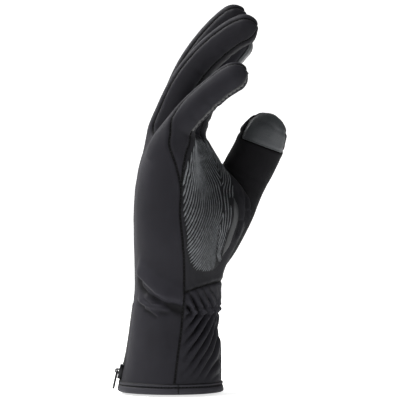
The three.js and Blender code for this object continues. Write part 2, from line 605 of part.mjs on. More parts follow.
// Touch pad of the index finger, and the palm panel round it
const indexCapFrom = 1 - TIP_CAP_LENGTH / INDEX_LENGTH;
const indexCapZone = digitSector(DIGITS.index, Math.PI, FRONT_HALF, indexCapFrom, 0);
const indexCapCut = digitSector(
  DIGITS.index,
  Math.PI,
  FRONT_HALF,
  indexCapFrom - SEAM_GAP / INDEX_LENGTH,
  SEAM_GAP,
);
const palmZone = frontZone.intersect(aboveWristSeam(0));
place("palm_panel", mainBody(skin.intersect(palmZone).subtract(indexCapCut)), PALM_FABRIC);
place("index_tip_cap", mainBody(skin.intersect(frontZone).intersect(indexCapZone)), TOUCH_LEATHER);

// Cuff front, gathered by the elastic
const cuffSkin = handSolid(CUFF_LEVELS, CUFF_STEPS_PER_LANDMARK, 0, gatherRise).subtract(lining);
place(
  "cuff_front_panel",
  mainBody(cuffSkin.intersect(frontZone).subtract(aboveWristSeam(-SEAM_GAP)).subtract(hemCut)),
  SOFT_SHELL,
);

// Side walls of the fingers. Each is what is left between two fingers' middles.
function betweenFingers(low, high) {
  const foot = 0.55 * HAND_HEIGHT;
  const top = HAND_HEIGHT + MIDDLE_LENGTH;
  const edge = (name, fallback) => {
    if (!name) return [fallback, fallback];
    const digit = DIGITS[name];
    return [digitFrame(digit, 0).centre.y, digitFrame(digit, 1).centre.y];
  };
  const [a0, a1] = edge(low, -2 * HAND_WIDTH);
  const [b0, b1] = edge(high, 2 * HAND_WIDTH);
  const corners = [[a0, foot], [b0, foot], [b1, top], [a1, top]];
  const outline = new THREE.Shape(corners.map((p) => new THREE.Vector2(...p)));
  const geometry = new THREE.ExtrudeGeometry(outline, { depth: 6 * HAND_DEPTH, bevelEnabled: false });
  geometry.translate(0, 0, -3 * HAND_DEPTH);
  const toRow = new THREE.Matrix4().makeBasis(
    new THREE.Vector3(0, 1, 0),
    new THREE.Vector3(0, 0, 1),
    new THREE.Vector3(1, 0, 0),
  );
  return solidOf(geometry.applyMatrix4(toRow));
}
const SIDE_WALLS = [
  { name: "side_panel_little", low: null, high: "little" },
  { name: "fourchette_little_ring", low: "little", high: "ring" },
  { name: "fourchette_ring_middle", low: "ring", high: "middle" },
  { name: "fourchette_middle_index", low: "middle", high: "index" },
  { name: "side_panel_index", low: "index", high: null },
];
const sideSkin = skin.subtract(sideZoneCut).subtract(indexCapCut);
for (const wall of SIDE_WALLS)
  place(wall.name, mainBody(sideSkin.intersect(betweenFingers(wall.low, wall.high))), SOFT_SHELL);

// Thumb, standing on the hand's surface
const handCleared = handSolid(HAND_LEVELS, RING_STEPS_PER_LANDMARK, SEAM_GAP);
const thumbSkin = digitOuter.thumb.subtract(lining).subtract(handCleared);
const thumbCapFrom = 1 - TIP_CAP_LENGTH / THUMB_LENGTH;
const THUMB_PAD_HALF = THREE.MathUtils.degToRad(80);
const thumbCapZone = digitSector(DIGITS.thumb, Math.PI, THUMB_PAD_HALF, thumbCapFrom, 0);
const thumbCapCut = digitSector(
  DIGITS.thumb,
  Math.PI,
  THUMB_PAD_HALF,
  thumbCapFrom - SEAM_GAP / THUMB_LENGTH,
  SEAM_GAP,
);
place("thumb_panel", mainBody(thumbSkin.subtract(thumbCapCut)), THUMB_FABRIC);
place("thumb_tip_cap", mainBody(thumbSkin.intersect(thumbCapZone)), TOUCH_LEATHER);

// Palm print, a thin layer over the palm
const printForm = (grow) => handSolid(HAND_LEVELS, RING_STEPS_PER_LANDMARK, grow, foldRise);
const printLayer = printForm(SEAM_GAP + PRINT_THICKNESS).subtract(printForm(SEAM_GAP));
const printZone = handSector(PRINT_ROWS, (row) => row.from, (row) => row.to, 2 * REACH);
const thumbCleared = digitSolid(DIGITS.thumb, SEAM_GAP);
const fingersCleared = joined(FINGERS.map((name) => digitSolid(DIGITS[name], SEAM_GAP)));
place(
  "grip_print",
  mainBody(printLayer.intersect(printZone).subtract(thumbCleared).subtract(fingersCleared)),
  GRIP_SILICONE,
);

// Hem
const hemLevels = [0, 0.4, 1].map((share) => share * HEM_HEIGHT);
const hemRoll = (height) => HEM_BULGE * bump((height / HEM_HEIGHT - 0.45) / 0.9);
const hemOuter = handSolid(hemLevels, RING_STEPS_PER_LANDMARK, 0, hemRoll);
place("hem_binding", mainBody(hemOuter.subtract(lining).subtract(zipSlot)), SOFT_SHELL);

// Zip. Its parts follow the cuff's surface up the middle of the slot. A station is a place on that line.
function zipStation(height) {
  const curve = zipCurve(height);
  const spot = handPoint(curve, ZIP_TURN, 0);
  return { spot, out: handPoint(curve, ZIP_TURN, 1).sub(spot) };
}

// A four-sided ring at a height: half its width across, between two distances out from the cuff.
function zipRing(height, half, low, high) {
  const { spot, out } = zipStation(height);
  const across = new THREE.Vector3(out.y, -out.x, 0);
  const corner = (side, reach) =>
    spot.clone().addScaledVector(across, side * half).addScaledVector(out, reach);
  return [corner(-1, low), corner(1, low), corner(1, high), corner(-1, high)];
}
const TAPE_TOP = -ZIP_SINK - 0.2;
const zipTop = ZIP_LENGTH - SEAM_GAP;
place(
  "zip_tape",
  loft(
    spaced(0, zipTop, 6).map((height) =>
      zipRing(height, ZIP_SLOT_WIDTH / 2 - 2 * SEAM_GAP, TAPE_TOP - ZIP_TAPE_THICKNESS, TAPE_TOP),
    ),
  ),
  ZIP_BLACK,
);

// The closed teeth, as one ribbed bar
const chainRing = (height, shrink) =>
  zipRing(height, ZIP_CHAIN_WIDTH / 2 - shrink, -ZIP_SINK, ZIP_CHAIN_THICKNESS - ZIP_SINK - shrink);
const chainRings = [];
const teeth = Math.floor((zipTop - ZIP_TOOTH_PITCH) / ZIP_TOOTH_PITCH);
for (let n = 0; n < teeth; n++) {
  const height = ZIP_TOOTH_PITCH * (n + 0.5);
  chainRings.push(chainRing(height, 0));
  if (n + 1 < teeth) chainRings.push(chainRing(height + ZIP_TOOTH_PITCH / 2, 0.4));
}
place("zip_teeth", loft(chainRings), ZIP_BLACK);

// The slider and pull are made lying flat: x across the zip, y up it and z away from the cuff.
const seat = zipStation(SLIDER_HEIGHT);
const upZip = zipStation(SLIDER_HEIGHT + 4).spot.sub(zipStation(SLIDER_HEIGHT - 4).spot).normalize();
const acrossZip = new THREE.Vector3().crossVectors(upZip, seat.out).normalize();
const sliderSeat = new THREE.Group();
sliderSeat.applyMatrix4(
  new THREE.Matrix4()
    .makeBasis(acrossZip, upZip, new THREE.Vector3().crossVectors(acrossZip, upZip))
    .setPosition(seat.spot),
);
glove.add(sliderSeat);

// An outline in the x-y plane, raised from low to high.
function slab(outline, low, high) {
  const shape = new THREE.Shape(outline.map(([x, y]) => new THREE.Vector2(x, y)));
  const geometry = new THREE.ExtrudeGeometry(shape, { depth: high - low, bevelEnabled: false });
  return solidOf(geometry.translate(0, 0, low));
}

// A round bar across the zip.
function crossBar(radius, length, y, z) {
  const geometry = new THREE.CylinderGeometry(radius, radius, length, 12);
  return solidOf(geometry.rotateZ(Math.PI / 2).translate(0, y, z));
}
const channelTop = ZIP_CHAIN_THICKNESS - ZIP_SINK + SEAM_GAP;
const plateTop = channelTop + SLIDER_PLATE;
const pinHeight = plateTop + SWING_CLEARANCE + PULL_THICKNESS / 2;
const bailRadius = PIN_RADIUS + SWING_CLEARANCE + BAIL_WALL;
const half = SLIDER_WIDTH / 2;
const nose = SLIDER_LENGTH / 2;
const sliderBody = slab(
  [[-0.62 * half, -nose], [0.62 * half, -nose], [0.9 * half, -0.3 * nose], [half, 0.5 * nose],
    [0.8 * half, nose], [-0.8 * half, nose], [-half, 0.5 * nose], [-0.9 * half, -0.3 * nose]],
  -SLIDER_PLATE / 2,
  plateTop,
);
const channelHalf = ZIP_CHAIN_WIDTH / 2 + SEAM_GAP;
const channel = boxBetween([-channelHalf, -SLIDER_LENGTH, -2], [channelHalf, SLIDER_LENGTH, channelTop]);
const bailFoot = boxBetween(
  [-BAIL_WIDTH / 2, -bailRadius, plateTop - SLIDER_PLATE / 2],
  [BAIL_WIDTH / 2, bailRadius, pinHeight],
);
const bail = crossBar(bailRadius, BAIL_WIDTH, 0, pinHeight).add(bailFoot);
const pinHole = crossBar(PIN_RADIUS + SWING_CLEARANCE, 2 * BAIL_WIDTH, 0, pinHeight);
place("zip_slider", sliderBody.subtract(channel).add(bail).subtract(pinHole), ZIP_BLACK, sliderSeat);

// The pull: a flat tab whose fork carries the pin through the bail
const pullFoot = -PULL_LENGTH + PULL_THICKNESS / 2;
const pullHalf = PULL_WIDTH / 2;
const tab = slab(
  [[-pullHalf, 0], [-pullHalf, 0.8 * pullFoot], [-0.6 * pullHalf, pullFoot], [0.6 * pullHalf, pullFoot],
    [pullHalf, 0.8 * pullFoot], [pullHalf, 0]],
  pinHeight - PULL_THICKNESS / 2,
  pinHeight + PULL_THICKNESS / 2,
);
const tabEnd = crossBar(PULL_THICKNESS / 2, PULL_WIDTH, 0, pinHeight);
const forkHalf = BAIL_WIDTH / 2 + SWING_CLEARANCE;
const forkDepth = bailRadius + SWING_CLEARANCE;
const forkGap = boxBetween([-forkHalf, -forkDepth, 0], [forkHalf, forkDepth, 2 * pinHeight]);
const pin = crossBar(PIN_RADIUS, PULL_WIDTH, 0, pinHeight);
place("zip_pull", tab.add(tabEnd).subtract(forkGap).add(pin), ZIP_BLACK, sliderSeat);

export default glove;
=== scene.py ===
# %% [markdown]
# # A riding glove, worn shape, right hand
# The glove is thin soft-shell cloth over fleece, filled out by a hand. This lesson builds it in five
# steps: one smooth form from a few tables, the seam lines cut into that form, the folds and gathers
# pressed into the cloth, the small sewn and printed things on top, and a finish for each material.
# Lengths are in millimetres until a mesh is made, because that is how a glove maker measures.

# %% Load the fixed frame
import math

import bmesh
import bpy
import numpy as np
import openvdb
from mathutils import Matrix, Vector
from mathutils.bvhtree import BVHTree
from mathutils.kdtree import KDTree


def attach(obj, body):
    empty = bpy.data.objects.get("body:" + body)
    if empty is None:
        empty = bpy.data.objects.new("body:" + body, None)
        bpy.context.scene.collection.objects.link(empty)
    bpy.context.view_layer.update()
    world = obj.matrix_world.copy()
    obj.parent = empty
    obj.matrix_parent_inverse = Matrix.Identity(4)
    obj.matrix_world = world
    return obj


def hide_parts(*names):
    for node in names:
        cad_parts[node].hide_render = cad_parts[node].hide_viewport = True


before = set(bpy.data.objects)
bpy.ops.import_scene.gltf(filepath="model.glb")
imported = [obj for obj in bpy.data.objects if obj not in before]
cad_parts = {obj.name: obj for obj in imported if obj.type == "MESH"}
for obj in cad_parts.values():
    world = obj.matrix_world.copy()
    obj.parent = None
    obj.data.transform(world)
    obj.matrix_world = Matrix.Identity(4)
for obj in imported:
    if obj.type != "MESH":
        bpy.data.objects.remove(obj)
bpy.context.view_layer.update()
MM = 0.001  # metres in a millimetre
CM = 0.1  # centimetres in a millimetre, the unit of the weave coordinates
print("frame nodes:", sorted(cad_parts))

# %% [markdown]
# ## The form, as tables
# A hand changes section all the way up, so no simple solid fits it. A table of level sections is the
# easy way to hold such a form: each row names a height and the places of eight landmarks round the
# hand, as shares of three driving sizes. Between the rows a spline fills in. The last four columns say
# where the seams cross each section, counted in landmarks from the middle of the back.

# %% The hand and cuff
HAND_HEIGHT, HAND_WIDTH, HAND_DEPTH = 152.0, 88.0, 60.0
WALL = 1.3  # thickness of the cloth that is built here
HEM_HEIGHT = 7.0
WRIST_SEAM_HEIGHT, WRIST_SEAM_RISE = 62.0, 0.4

# height, then x and y of back, backUlnar, ulnar, heel, hollow, thenar, radial and backRadial,
# then the seams: ulnarBack, ulnarPalm, radialPalm, radialBack
HAND_ROWS = np.array([
    (-0.02, -.56, 0, -.387, -.262, 0, -.372, .375, -.262, .527, 0,
     .375, .262, 0, .372, -.375, .262, 2.36, 2.36, 5.8, 5.8),
    (0.046, -.538, 0, -.37, -.259, 0, -.368, .37, -.259, .515, 0,
     .37, .259, 0, .368, -.36, .259, 2.37, 2.37, 5.78, 5.78),
    (0.167, -.467, 0, -.32, -.255, .013, -.36, .358, -.253, .496, 0,
     .358, .253, .013, .36, -.32, .255, 2.45, 2.45, 5.7, 5.7),
    (0.296, -.414, 0, -.29, -.247, .035, -.347, .34, -.24, .462, 0,
     .338, .242, .035, .347, -.29, .247, 2.54, 2.54, 5.6, 5.6),
    (0.408, -.38, .01, -.265, -.262, .03, -.37, .36, -.268, .49, -.01,
     .42, .2, .09, .37, -.26, .268, 2.59, 2.59, 5.75, 5.75),
    (0.526, -.378, .03, -.262, -.3, .02, -.412, .365, -.315, .475, -.03,
     .53, .17, .17, .41, -.235, .31, 2.63, 2.63, 6.0, 6.0),
    (0.625, -.387, .045, -.26, -.335, .03, -.455, .37, -.345, .5, -.045,
     .665, .18, .21, .455, -.235, .36, 2.6, 2.6, 6.1, 6.1),
    (0.724, -.39, .057, -.258, -.355, .035, -.477, .345, -.36, .515, -.055,
     .76, .2, .25, .475, -.235, .387, 2.6, 2.6, 6.15, 6.15),
    (0.822, -.383, .068, -.232, -.365, .055, -.488, .33, -.365, .42, -.05,
     .68, .26, .24, .49, -.215, .4, 2.62, 2.62, 6.2, 6.2),
    (0.921, -.35, .08, -.17, -.375, .085, -.494, .345, -.365, .325, -.045,
     .45, .315, .165, .5, -.165, .41, 2.38, 2.63, 5.75, 6.2),
    (1.0, -.296, .09, -.095, -.375, .125, -.488, .36, -.365, .25, -.035,
     .315, .34, .095, .49, -.115, .41, 2.05, 2.7, 5.6, 6.35),
    (1.045, -.235, .09, -.02, -.35, .15, -.44, .355, -.345, .205, -.03,
     .25, .33, .08, .45, -.06, .38, 1.95, 2.76, 5.6, 6.4),
])
HAND_TOP = HAND_ROWS[-1, 0] * HAND_HEIGHT

# %% [markdown]
# Each finger is a chain of sections too, but along a bent line: lean is the angle from upright towards
# the palm, spread the angle towards the thumb, in degrees. Width and depth are shares of the finger's
# own size, so one row can be thickened without touching the rest.

# %% The digits
FINGER_WIDTH, FINGER_DEPTH = 0.232 * HAND_WIDTH * 0.965, 20.0
KNUCKLE = 0.94 * HAND_HEIGHT
SQUARENESS = 0.86  # under 1 makes a section boxier than an ellipse


def digit(length, width, depth, base, back, rows):
    return {"length": length, "width": width, "depth": depth, "rows": np.array(rows),
            "base": np.array(base), "back": np.array(back, float)}


# along, lean, spread, width, depth
DIGITS = {
    "little": digit(78, FINGER_WIDTH, FINGER_DEPTH, (-0.6, -33.1, KNUCKLE), (-1, 0, 0), [
        (0, 24, 0, .7, .72), (.14, 31, 0, .95, .93), (.27, 38, -1, .97, .9), (.42, 44, -1, .95, .88),
        (.6, 49, 1, .92, .86), (.77, 53, 2, .9, .86), (.9, 63, 2, .88, .87), (1, 80, 2, .85, .84)]),
    "ring": digit(108.5, FINGER_WIDTH, FINGER_DEPTH, (-5.1, -11.8, KNUCKLE), (-1, 0, 0), [
        (0, 13, 0, .74, .74), (.14, 16, 0, 1, 1.18), (.3, 21, 0, 1.01, 1.06), (.45, 30, 1, 1, 1),
        (.6, 42, 1, .98, .98), (.74, 50, 1, .96, .97), (.87, 62, 1, .93, .97), (1, 92, 1, .9, .95)]),
    "middle": digit(110, FINGER_WIDTH, FINGER_DEPTH, (-9.0, 9.5, KNUCKLE), (-1, 0, 0), [
        (0, 12, 0, .74, .74), (.14, 16, 0, 1.01, 1.2), (.3, 19.5, 0, 1.02, 1.1), (.45, 24, 0, 1.01, 1.05),
        (.6, 32, 0, .98, 1.02), (.74, 41, 0, .96, .99), (.88, 49, 0, .94, .96), (1, 66, 0, .92, .92)]),
    "index": digit(92, FINGER_WIDTH, FINGER_DEPTH, (-1.5, 31.0, KNUCKLE), (-1, 0, 0), [
        (0, 14, 0, .74, .72), (.14, 17, 0, 1, 1.06), (.3, 21, 0, 1.01, 1.02), (.45, 27, -1, .99, .98),
        (.6, 33, -2, .97, .96), (.76, 38, -2, .95, .95), (.9, 43, -2, .93, .94), (1, 52, -2, .92, .92)]),
    "thumb": digit(108, 30.5, 23.0, (12.0, 26.0, 0.5 * HAND_HEIGHT), (0, 1, 0), [
        (0, 26, 26, .78, 1), (.16, 24, 18, 1, 1.06), (.34, 24, 9, 1.06, 1.1), (.54, 24, 4, 1.03, 1.03),
        (.68, 29, 3, 1.02, 1), (.8, 22, 0, 1, .97), (.92, 6, 0, .95, .93), (1, 0, 0, .9, .88)]),
}
FINGERS = ["little", "ring", "middle", "index"]

# %% [markdown]
# ## From rows to smooth curves
# The spline used here passes through every value that the table gives, which makes a table easy to
# tune: what is written is what is built. The same four weights serve up the hand, round the hand and
# along a finger.

# %% Spline helpers


def spline_weights(f):
    return np.stack([(-f + 2 * f * f - f ** 3) / 2, (2 - 5 * f * f + 3 * f ** 3) / 2,
                     (f + 4 * f * f - 3 * f ** 3) / 2, (-f * f + f ** 3) / 2])


def spline_slopes(f):
    return np.stack([(-1 + 4 * f - 3 * f * f) / 2, (-10 * f + 9 * f * f) / 2,
                     (1 + 8 * f - 9 * f * f) / 2, (-2 * f + 3 * f * f) / 2])


def rows_at(rows, position):
    """Rows of a table at fractional row numbers."""
    last = len(rows) - 1
    at = np.clip(position, 0, last)
    i = np.minimum(at.astype(int), last - 1)
    w = spline_weights(at - i)
    return sum(w[k][:, None] * rows[np.clip(i - 1 + k, 0, last)] for k in range(4))


def row_position(rows, value):
    """The fractional row number where the first column reaches a value."""
    fine = np.linspace(0, len(rows) - 1, 4001)
    return np.interp(value, rows_at(rows, fine)[:, 0], fine)


# %% Points round the hand
def ring_points(height, turn, grow=0.0):
    """Points round the hand: one row of points for each height, one point for each turn."""
    rows = rows_at(HAND_ROWS, row_position(HAND_ROWS, np.atleast_1d(height) / HAND_HEIGHT))
    marks = rows[:, 1:17].reshape(-1, 8, 2) * (HAND_DEPTH, HAND_WIDTH)
    i = np.floor(turn).astype(int)
    w, s = spline_weights(turn - i), spline_slopes(turn - i)
    near = [marks[:, (i - 1 + k) % 8] for k in range(4)]
    xy = sum(near[k] * w[k][None, :, None] for k in range(4))
    t = sum(near[k] * s[k][None, :, None] for k in range(4))
    out = np.stack([t[..., 1], -t[..., 0]], -1)
    return xy + np.asarray(grow)[..., None] * out / np.linalg.norm(out, axis=-1, keepdims=True)


# %% [markdown]
# A digit's centre line is walked in small steps along its heading. The back direction is kept square to
# the heading, so that the section never twists.

# %% Lines along the digits
def unit(v):
    return v / np.maximum(np.linalg.norm(v, axis=-1, keepdims=True), 1e-9)


def digit_line(d, count=200):
    """Centre, heading, back, side, width and depth at even steps along a digit."""
    fine = (np.arange(4 * count) + 0.5) / (4 * count)

    def heading_at(along):
        row = rows_at(d["rows"], row_position(d["rows"], along))
        lean, spread = np.radians(row[:, 1]), np.radians(row[:, 2])
        forward, aside, up = np.sin(lean) * np.cos(spread), np.sin(spread), np.cos(lean) * np.cos(spread)
        heading = np.stack([forward, aside, up], -1)
        return heading, row

    steps = heading_at(fine)[0] * d["length"] / (4 * count)
    walked = np.vstack([np.zeros(3), np.cumsum(steps, axis=0)])[::4]
    heading, row = heading_at(np.linspace(0, 1, count + 1))
    if d["back"][0]:
        back = np.stack([-heading[:, 2], np.zeros(count + 1), heading[:, 0]], -1)
    else:
        back = np.tile(d["back"], (count + 1, 1))
    back = unit(back - heading * np.sum(back * heading, -1, keepdims=True))
    return {
        "centre": d["base"] + walked, "heading": heading, "back": back, "side": np.cross(back, heading),
        "half_width": row[:, 3] * d["width"] / 2, "half_depth": row[:, 4] * d["depth"] / 2,
    }


LINES = {name: digit_line(d) for name, d in DIGITS.items()}


def line_at(line, key, along):
    """One of a digit line's columns at shares of its length."""
    spot = np.linspace(0, 1, len(line["centre"]))
    column = line[key]
    if column.ndim == 1:
        return np.interp(along, spot, column)
    return np.stack([np.interp(along, spot, column[:, k]) for k in range(3)], -1)


print("finger tips at", {n: np.round(l["centre"][-1], 1).tolist() for n, l in LINES.items()})

# %% [markdown]
# ## One smooth form
# The hand and the digits overlap at the knuckles. Joining them as meshes would leave a hard line where
# cloth runs on smoothly, so each is turned into a distance field on one grid. Fields can be blended:
# a soft minimum rounds the knuckles, and a plain minimum keeps neighbouring fingers apart.

# %% Closed lofts for the fields
VOXEL = 0.88
BAND = 10  # voxels of field each side of the surface


def loft(rings):
    """Quads and end triangles over equal rings."""
    count = len(rings[0])
    points = np.vstack([np.vstack(rings), rings[0].mean(0), rings[-1].mean(0)])
    i = np.arange(count)
    j = (i + 1) % count
    quads = np.vstack([np.stack([i, j, j + count, i + count], -1) + r * count
                       for r in range(len(rings) - 1)])
    top = (len(rings) - 1) * count
    caps = np.vstack([np.stack([j, i, np.full(count, len(points) - 2)], -1),
                      np.stack([i + top, j + top, np.full(count, len(points) - 1)], -1)])
    return points, quads, caps


def hand_loft():
    """The hand from below the cuff up to a rounded top."""
    turns = np.arange(256) * 8 / 256
    rounding = 4
    shoulder = HAND_TOP - rounding
    dome = shoulder + rounding * np.sin(np.linspace(0, 1.5, 7))
    rings = []
    for h in np.concatenate([np.arange(-8, shoulder, 1.5), dome]):
        up = max(h - shoulder, 0) / rounding
        xy = ring_points(h, turns, -rounding * (1 - math.sqrt(max(1 - up * up, 0))))[0]
        rings.append(np.column_stack([xy, np.full(len(xy), h)]))
    return loft(rings)


def digit_loft(name):
    """One digit, with a rounded tip."""
    line, d = LINES[name], DIGITS[name]
    tip = 0.46 * d["width"] / d["length"]
    angles = np.arange(72) * 2 * math.pi / 72
    rings = []
    body = [(a, 1.0) for a in np.linspace(0, 1 - tip, 56)]
    end = [(1 - tip + s * tip, math.sqrt(1 - s * s)) for s in np.sin(np.linspace(0.1, 1.52, 12))]
    for along, shrink in body + end:
        c, b, s = (line_at(line, k, np.array([along])) for k in ("centre", "back", "side"))
        w, h = (line_at(line, k, along) * shrink for k in ("half_width", "half_depth"))
        sn, cs = np.sin(angles), np.cos(angles)
        across = w * np.sign(sn) * abs(sn) ** SQUARENESS
        deep = h * np.sign(cs) * abs(cs) ** SQUARENESS
        rings.append(c + across[:, None] * s + deep[:, None] * b)
    return loft(rings)


# %% Distance fields on one grid
GRID_LOW = np.array([-48.0, -54.0, -12.0])
GRID_SIZE = np.ceil((np.array([76.0, 62.0, 250.0]) - GRID_LOW) / VOXEL).astype(int)


def field_of(points, quads, caps):
    """Distances to a closed form, in millimetres, negative inside it."""
    transform = openvdb.createLinearTransform(voxelSize=VOXEL)
    grid = openvdb.FloatGrid.createLevelSetFromPolygons(
        (points - GRID_LOW).astype(np.float32), triangles=caps.astype(np.uint32),
        quads=quads.astype(np.uint32), transform=transform, halfWidth=BAND)
    field = np.full(GRID_SIZE, BAND * VOXEL, dtype=np.float32)
    grid.copyToArray(field)
    return field


def soft_min(a, b, reach):
    """The smaller of two fields, rounded where they are nearly equal."""
    h = np.clip(0.5 + 0.5 * (b - a) / reach, 0, 1)
    return b * (1 - h) + a * h - reach * h * (1 - h)


fields = {name: field_of(*digit_loft(name)) for name in DIGITS}
fields["hand"] = field_of(*hand_loft())
fingers_field = np.minimum.reduce([fields[name] for name in FINGERS])
KNUCKLE_BLEND, THUMB_BLEND = 5.0, 2.5
form = soft_min(fields["hand"], fingers_field, KNUCKLE_BLEND)
form = soft_min(form, fields["thumb"], THUMB_BLEND)
print("grid", GRID_SIZE, "inside", int((form < 0).sum() * VOXEL ** 3 / 1000), "ml")


def sampled(field, points):
    """A field's value at any points, from the eight grid values round each."""
    at = np.clip((points - GRID_LOW) / VOXEL, 0, GRID_SIZE - 1.001)
    i = at.astype(int)
    f = at - i
    total = np.zeros(len(points))
    for dx in (0, 1):
        for dy in (0, 1):
            for dz in (0, 1):
                w = (np.where(dx, f[:, 0], 1 - f[:, 0]) * np.where(dy, f[:, 1], 1 - f[:, 1])
                     * np.where(dz, f[:, 2], 1 - f[:, 2]))
                total += w * field[i[:, 0] + dx, i[:, 1] + dy, i[:, 2] + dz]
    return total


# %% The form as a mesh
def surface_of(field):
    """Points and quads where a field is zero."""
    grid = openvdb.FloatGrid(BAND * VOXEL)
    grid.copyFromArray(field.astype(np.float32))
    points, quads = grid.convertToQuads(isovalue=0.0)
    return points * VOXEL + GRID_LOW, quads.astype(int)


form_points, form_quads = surface_of(form)
print("form:", len(form_points), "points, z", form_points[:, 2].min(), form_points[:, 2].max())

# %% [markdown]
# ## Where a point lies
# Seams, folds and weave all follow the glove and not the room, so every point needs a place on it: a
# turn round the hand, or an angle round a finger and a share of its length. Both are found by
# looking the point up in fine tables of the same curves.

# %% Places on the hand and on the digits
LEVELS = np.arange(-9.0, HAND_TOP + 0.5, 1.0)
FINE_TURNS = np.linspace(0, 8, 801)
RINGS = ring_points(LEVELS, FINE_TURNS)
HUBS = RINGS[:, :-1].mean(1)
SPOKES = RINGS - HUBS[:, None]
RING_ANGLES = np.unwrap(np.arctan2(SPOKES[..., 1], SPOKES[..., 0]), axis=1)


def hand_turn(points):
    """Landmarks round the hand from the middle of the back, 0 to 8."""
    level = np.clip(points[:, 2] - LEVELS[0], 0, len(LEVELS) - 1.001)
    low = level.astype(int)
    found = np.zeros((2, len(points)))
    for k in np.unique(low):
        mine = np.nonzero(low == k)[0]
        for n in (0, 1):
            rel = np.arctan2(points[mine, 1] - HUBS[k + n, 1], points[mine, 0] - HUBS[k + n, 0])
            rel = (rel - RING_ANGLES[k + n, 0]) % (2 * math.pi)
            found[n, mine] = np.interp(rel, RING_ANGLES[k + n] - RING_ANGLES[k + n, 0], FINE_TURNS)
    step = (found[1] - found[0] + 4) % 8 - 4
    return (found[0] + (level - low) * step) % 8


def digit_place(points, name):
    """Share of the length, and the angle round the digit, 0 at the middle of its back."""
    line, length = LINES[name], DIGITS[name]["length"]
    some = line["centre"][::5]
    gaps = ((points[:, None] - some[None]) ** 2).sum(-1)
    along = gaps.argmin(1) * 5 / (len(line["centre"]) - 1)
    for _ in range(3):
        step = points - line_at(line, "centre", along)
        along = np.clip(along + (step * line_at(line, "heading", along)).sum(-1) / length, 0, 1)
    step = points - line_at(line, "centre", along)
    a = (step * line_at(line, "side", along)).sum(-1) / line_at(line, "half_width", along)
    b = (step * line_at(line, "back", along)).sum(-1) / line_at(line, "half_depth", along)
    power = 1 / SQUARENESS
    return along, np.arctan2(np.sign(a) * abs(a) ** power, np.sign(b) * abs(b) ** power)


def ramp(low, high, x):
    """A smooth step from 0 to 1 between two values."""
    t = np.clip((x - low) / (high - low), 0, 1)
    return t * t * (3 - 2 * t)


# %% [markdown]
# ## The seam lines
# Each seam is the zero line of a smooth measure, in millimetres, that is positive on one side of it.
# The back panel runs from the cuff up the backs of the fingers, the palm panel up their fronts, and
# what is left between them is the side walls. The little finger's wall runs down to a long leaf point.

# %% Measures that are zero on the seams
MM_PER_LANDMARK = 2.5 * HAND_WIDTH / 8
BACK_HALF, FRONT_HALF = math.radians(52), math.radians(38)
THUMB_RADIUS = 13
THUMB_PAD_CENTRE, THUMB_PAD_HALF = math.radians(156), math.radians(67)
LITTLE_WALL = np.array([  # along, then degrees to the outer edges of the back and front strips
    (0, 138, 20), (.08, 125, 18), (.16, 105, 15), (.25, 88, 12), (.33, 60, 12), (.42, 38, 14), (.5, 32, 17),
    (.68, 28, 24), (.8, 31, 27), (1, 36, 30)])
THUMB_CAP_LENGTH, INDEX_CAP_LENGTH = 20.5, 27.0
ZIP_TURN, ZIP_LENGTH, ZIP_SLOT_WIDTH = 0.28, 56.0, 8.4
ZIP_Y = ring_points(ZIP_LENGTH / 2, np.array([ZIP_TURN]))[0, 0, 1]
SEAM_KEYS = ["back", "front", "wrist", "thumb", "index_cap", "thumb_cap", "hem", "slot"]


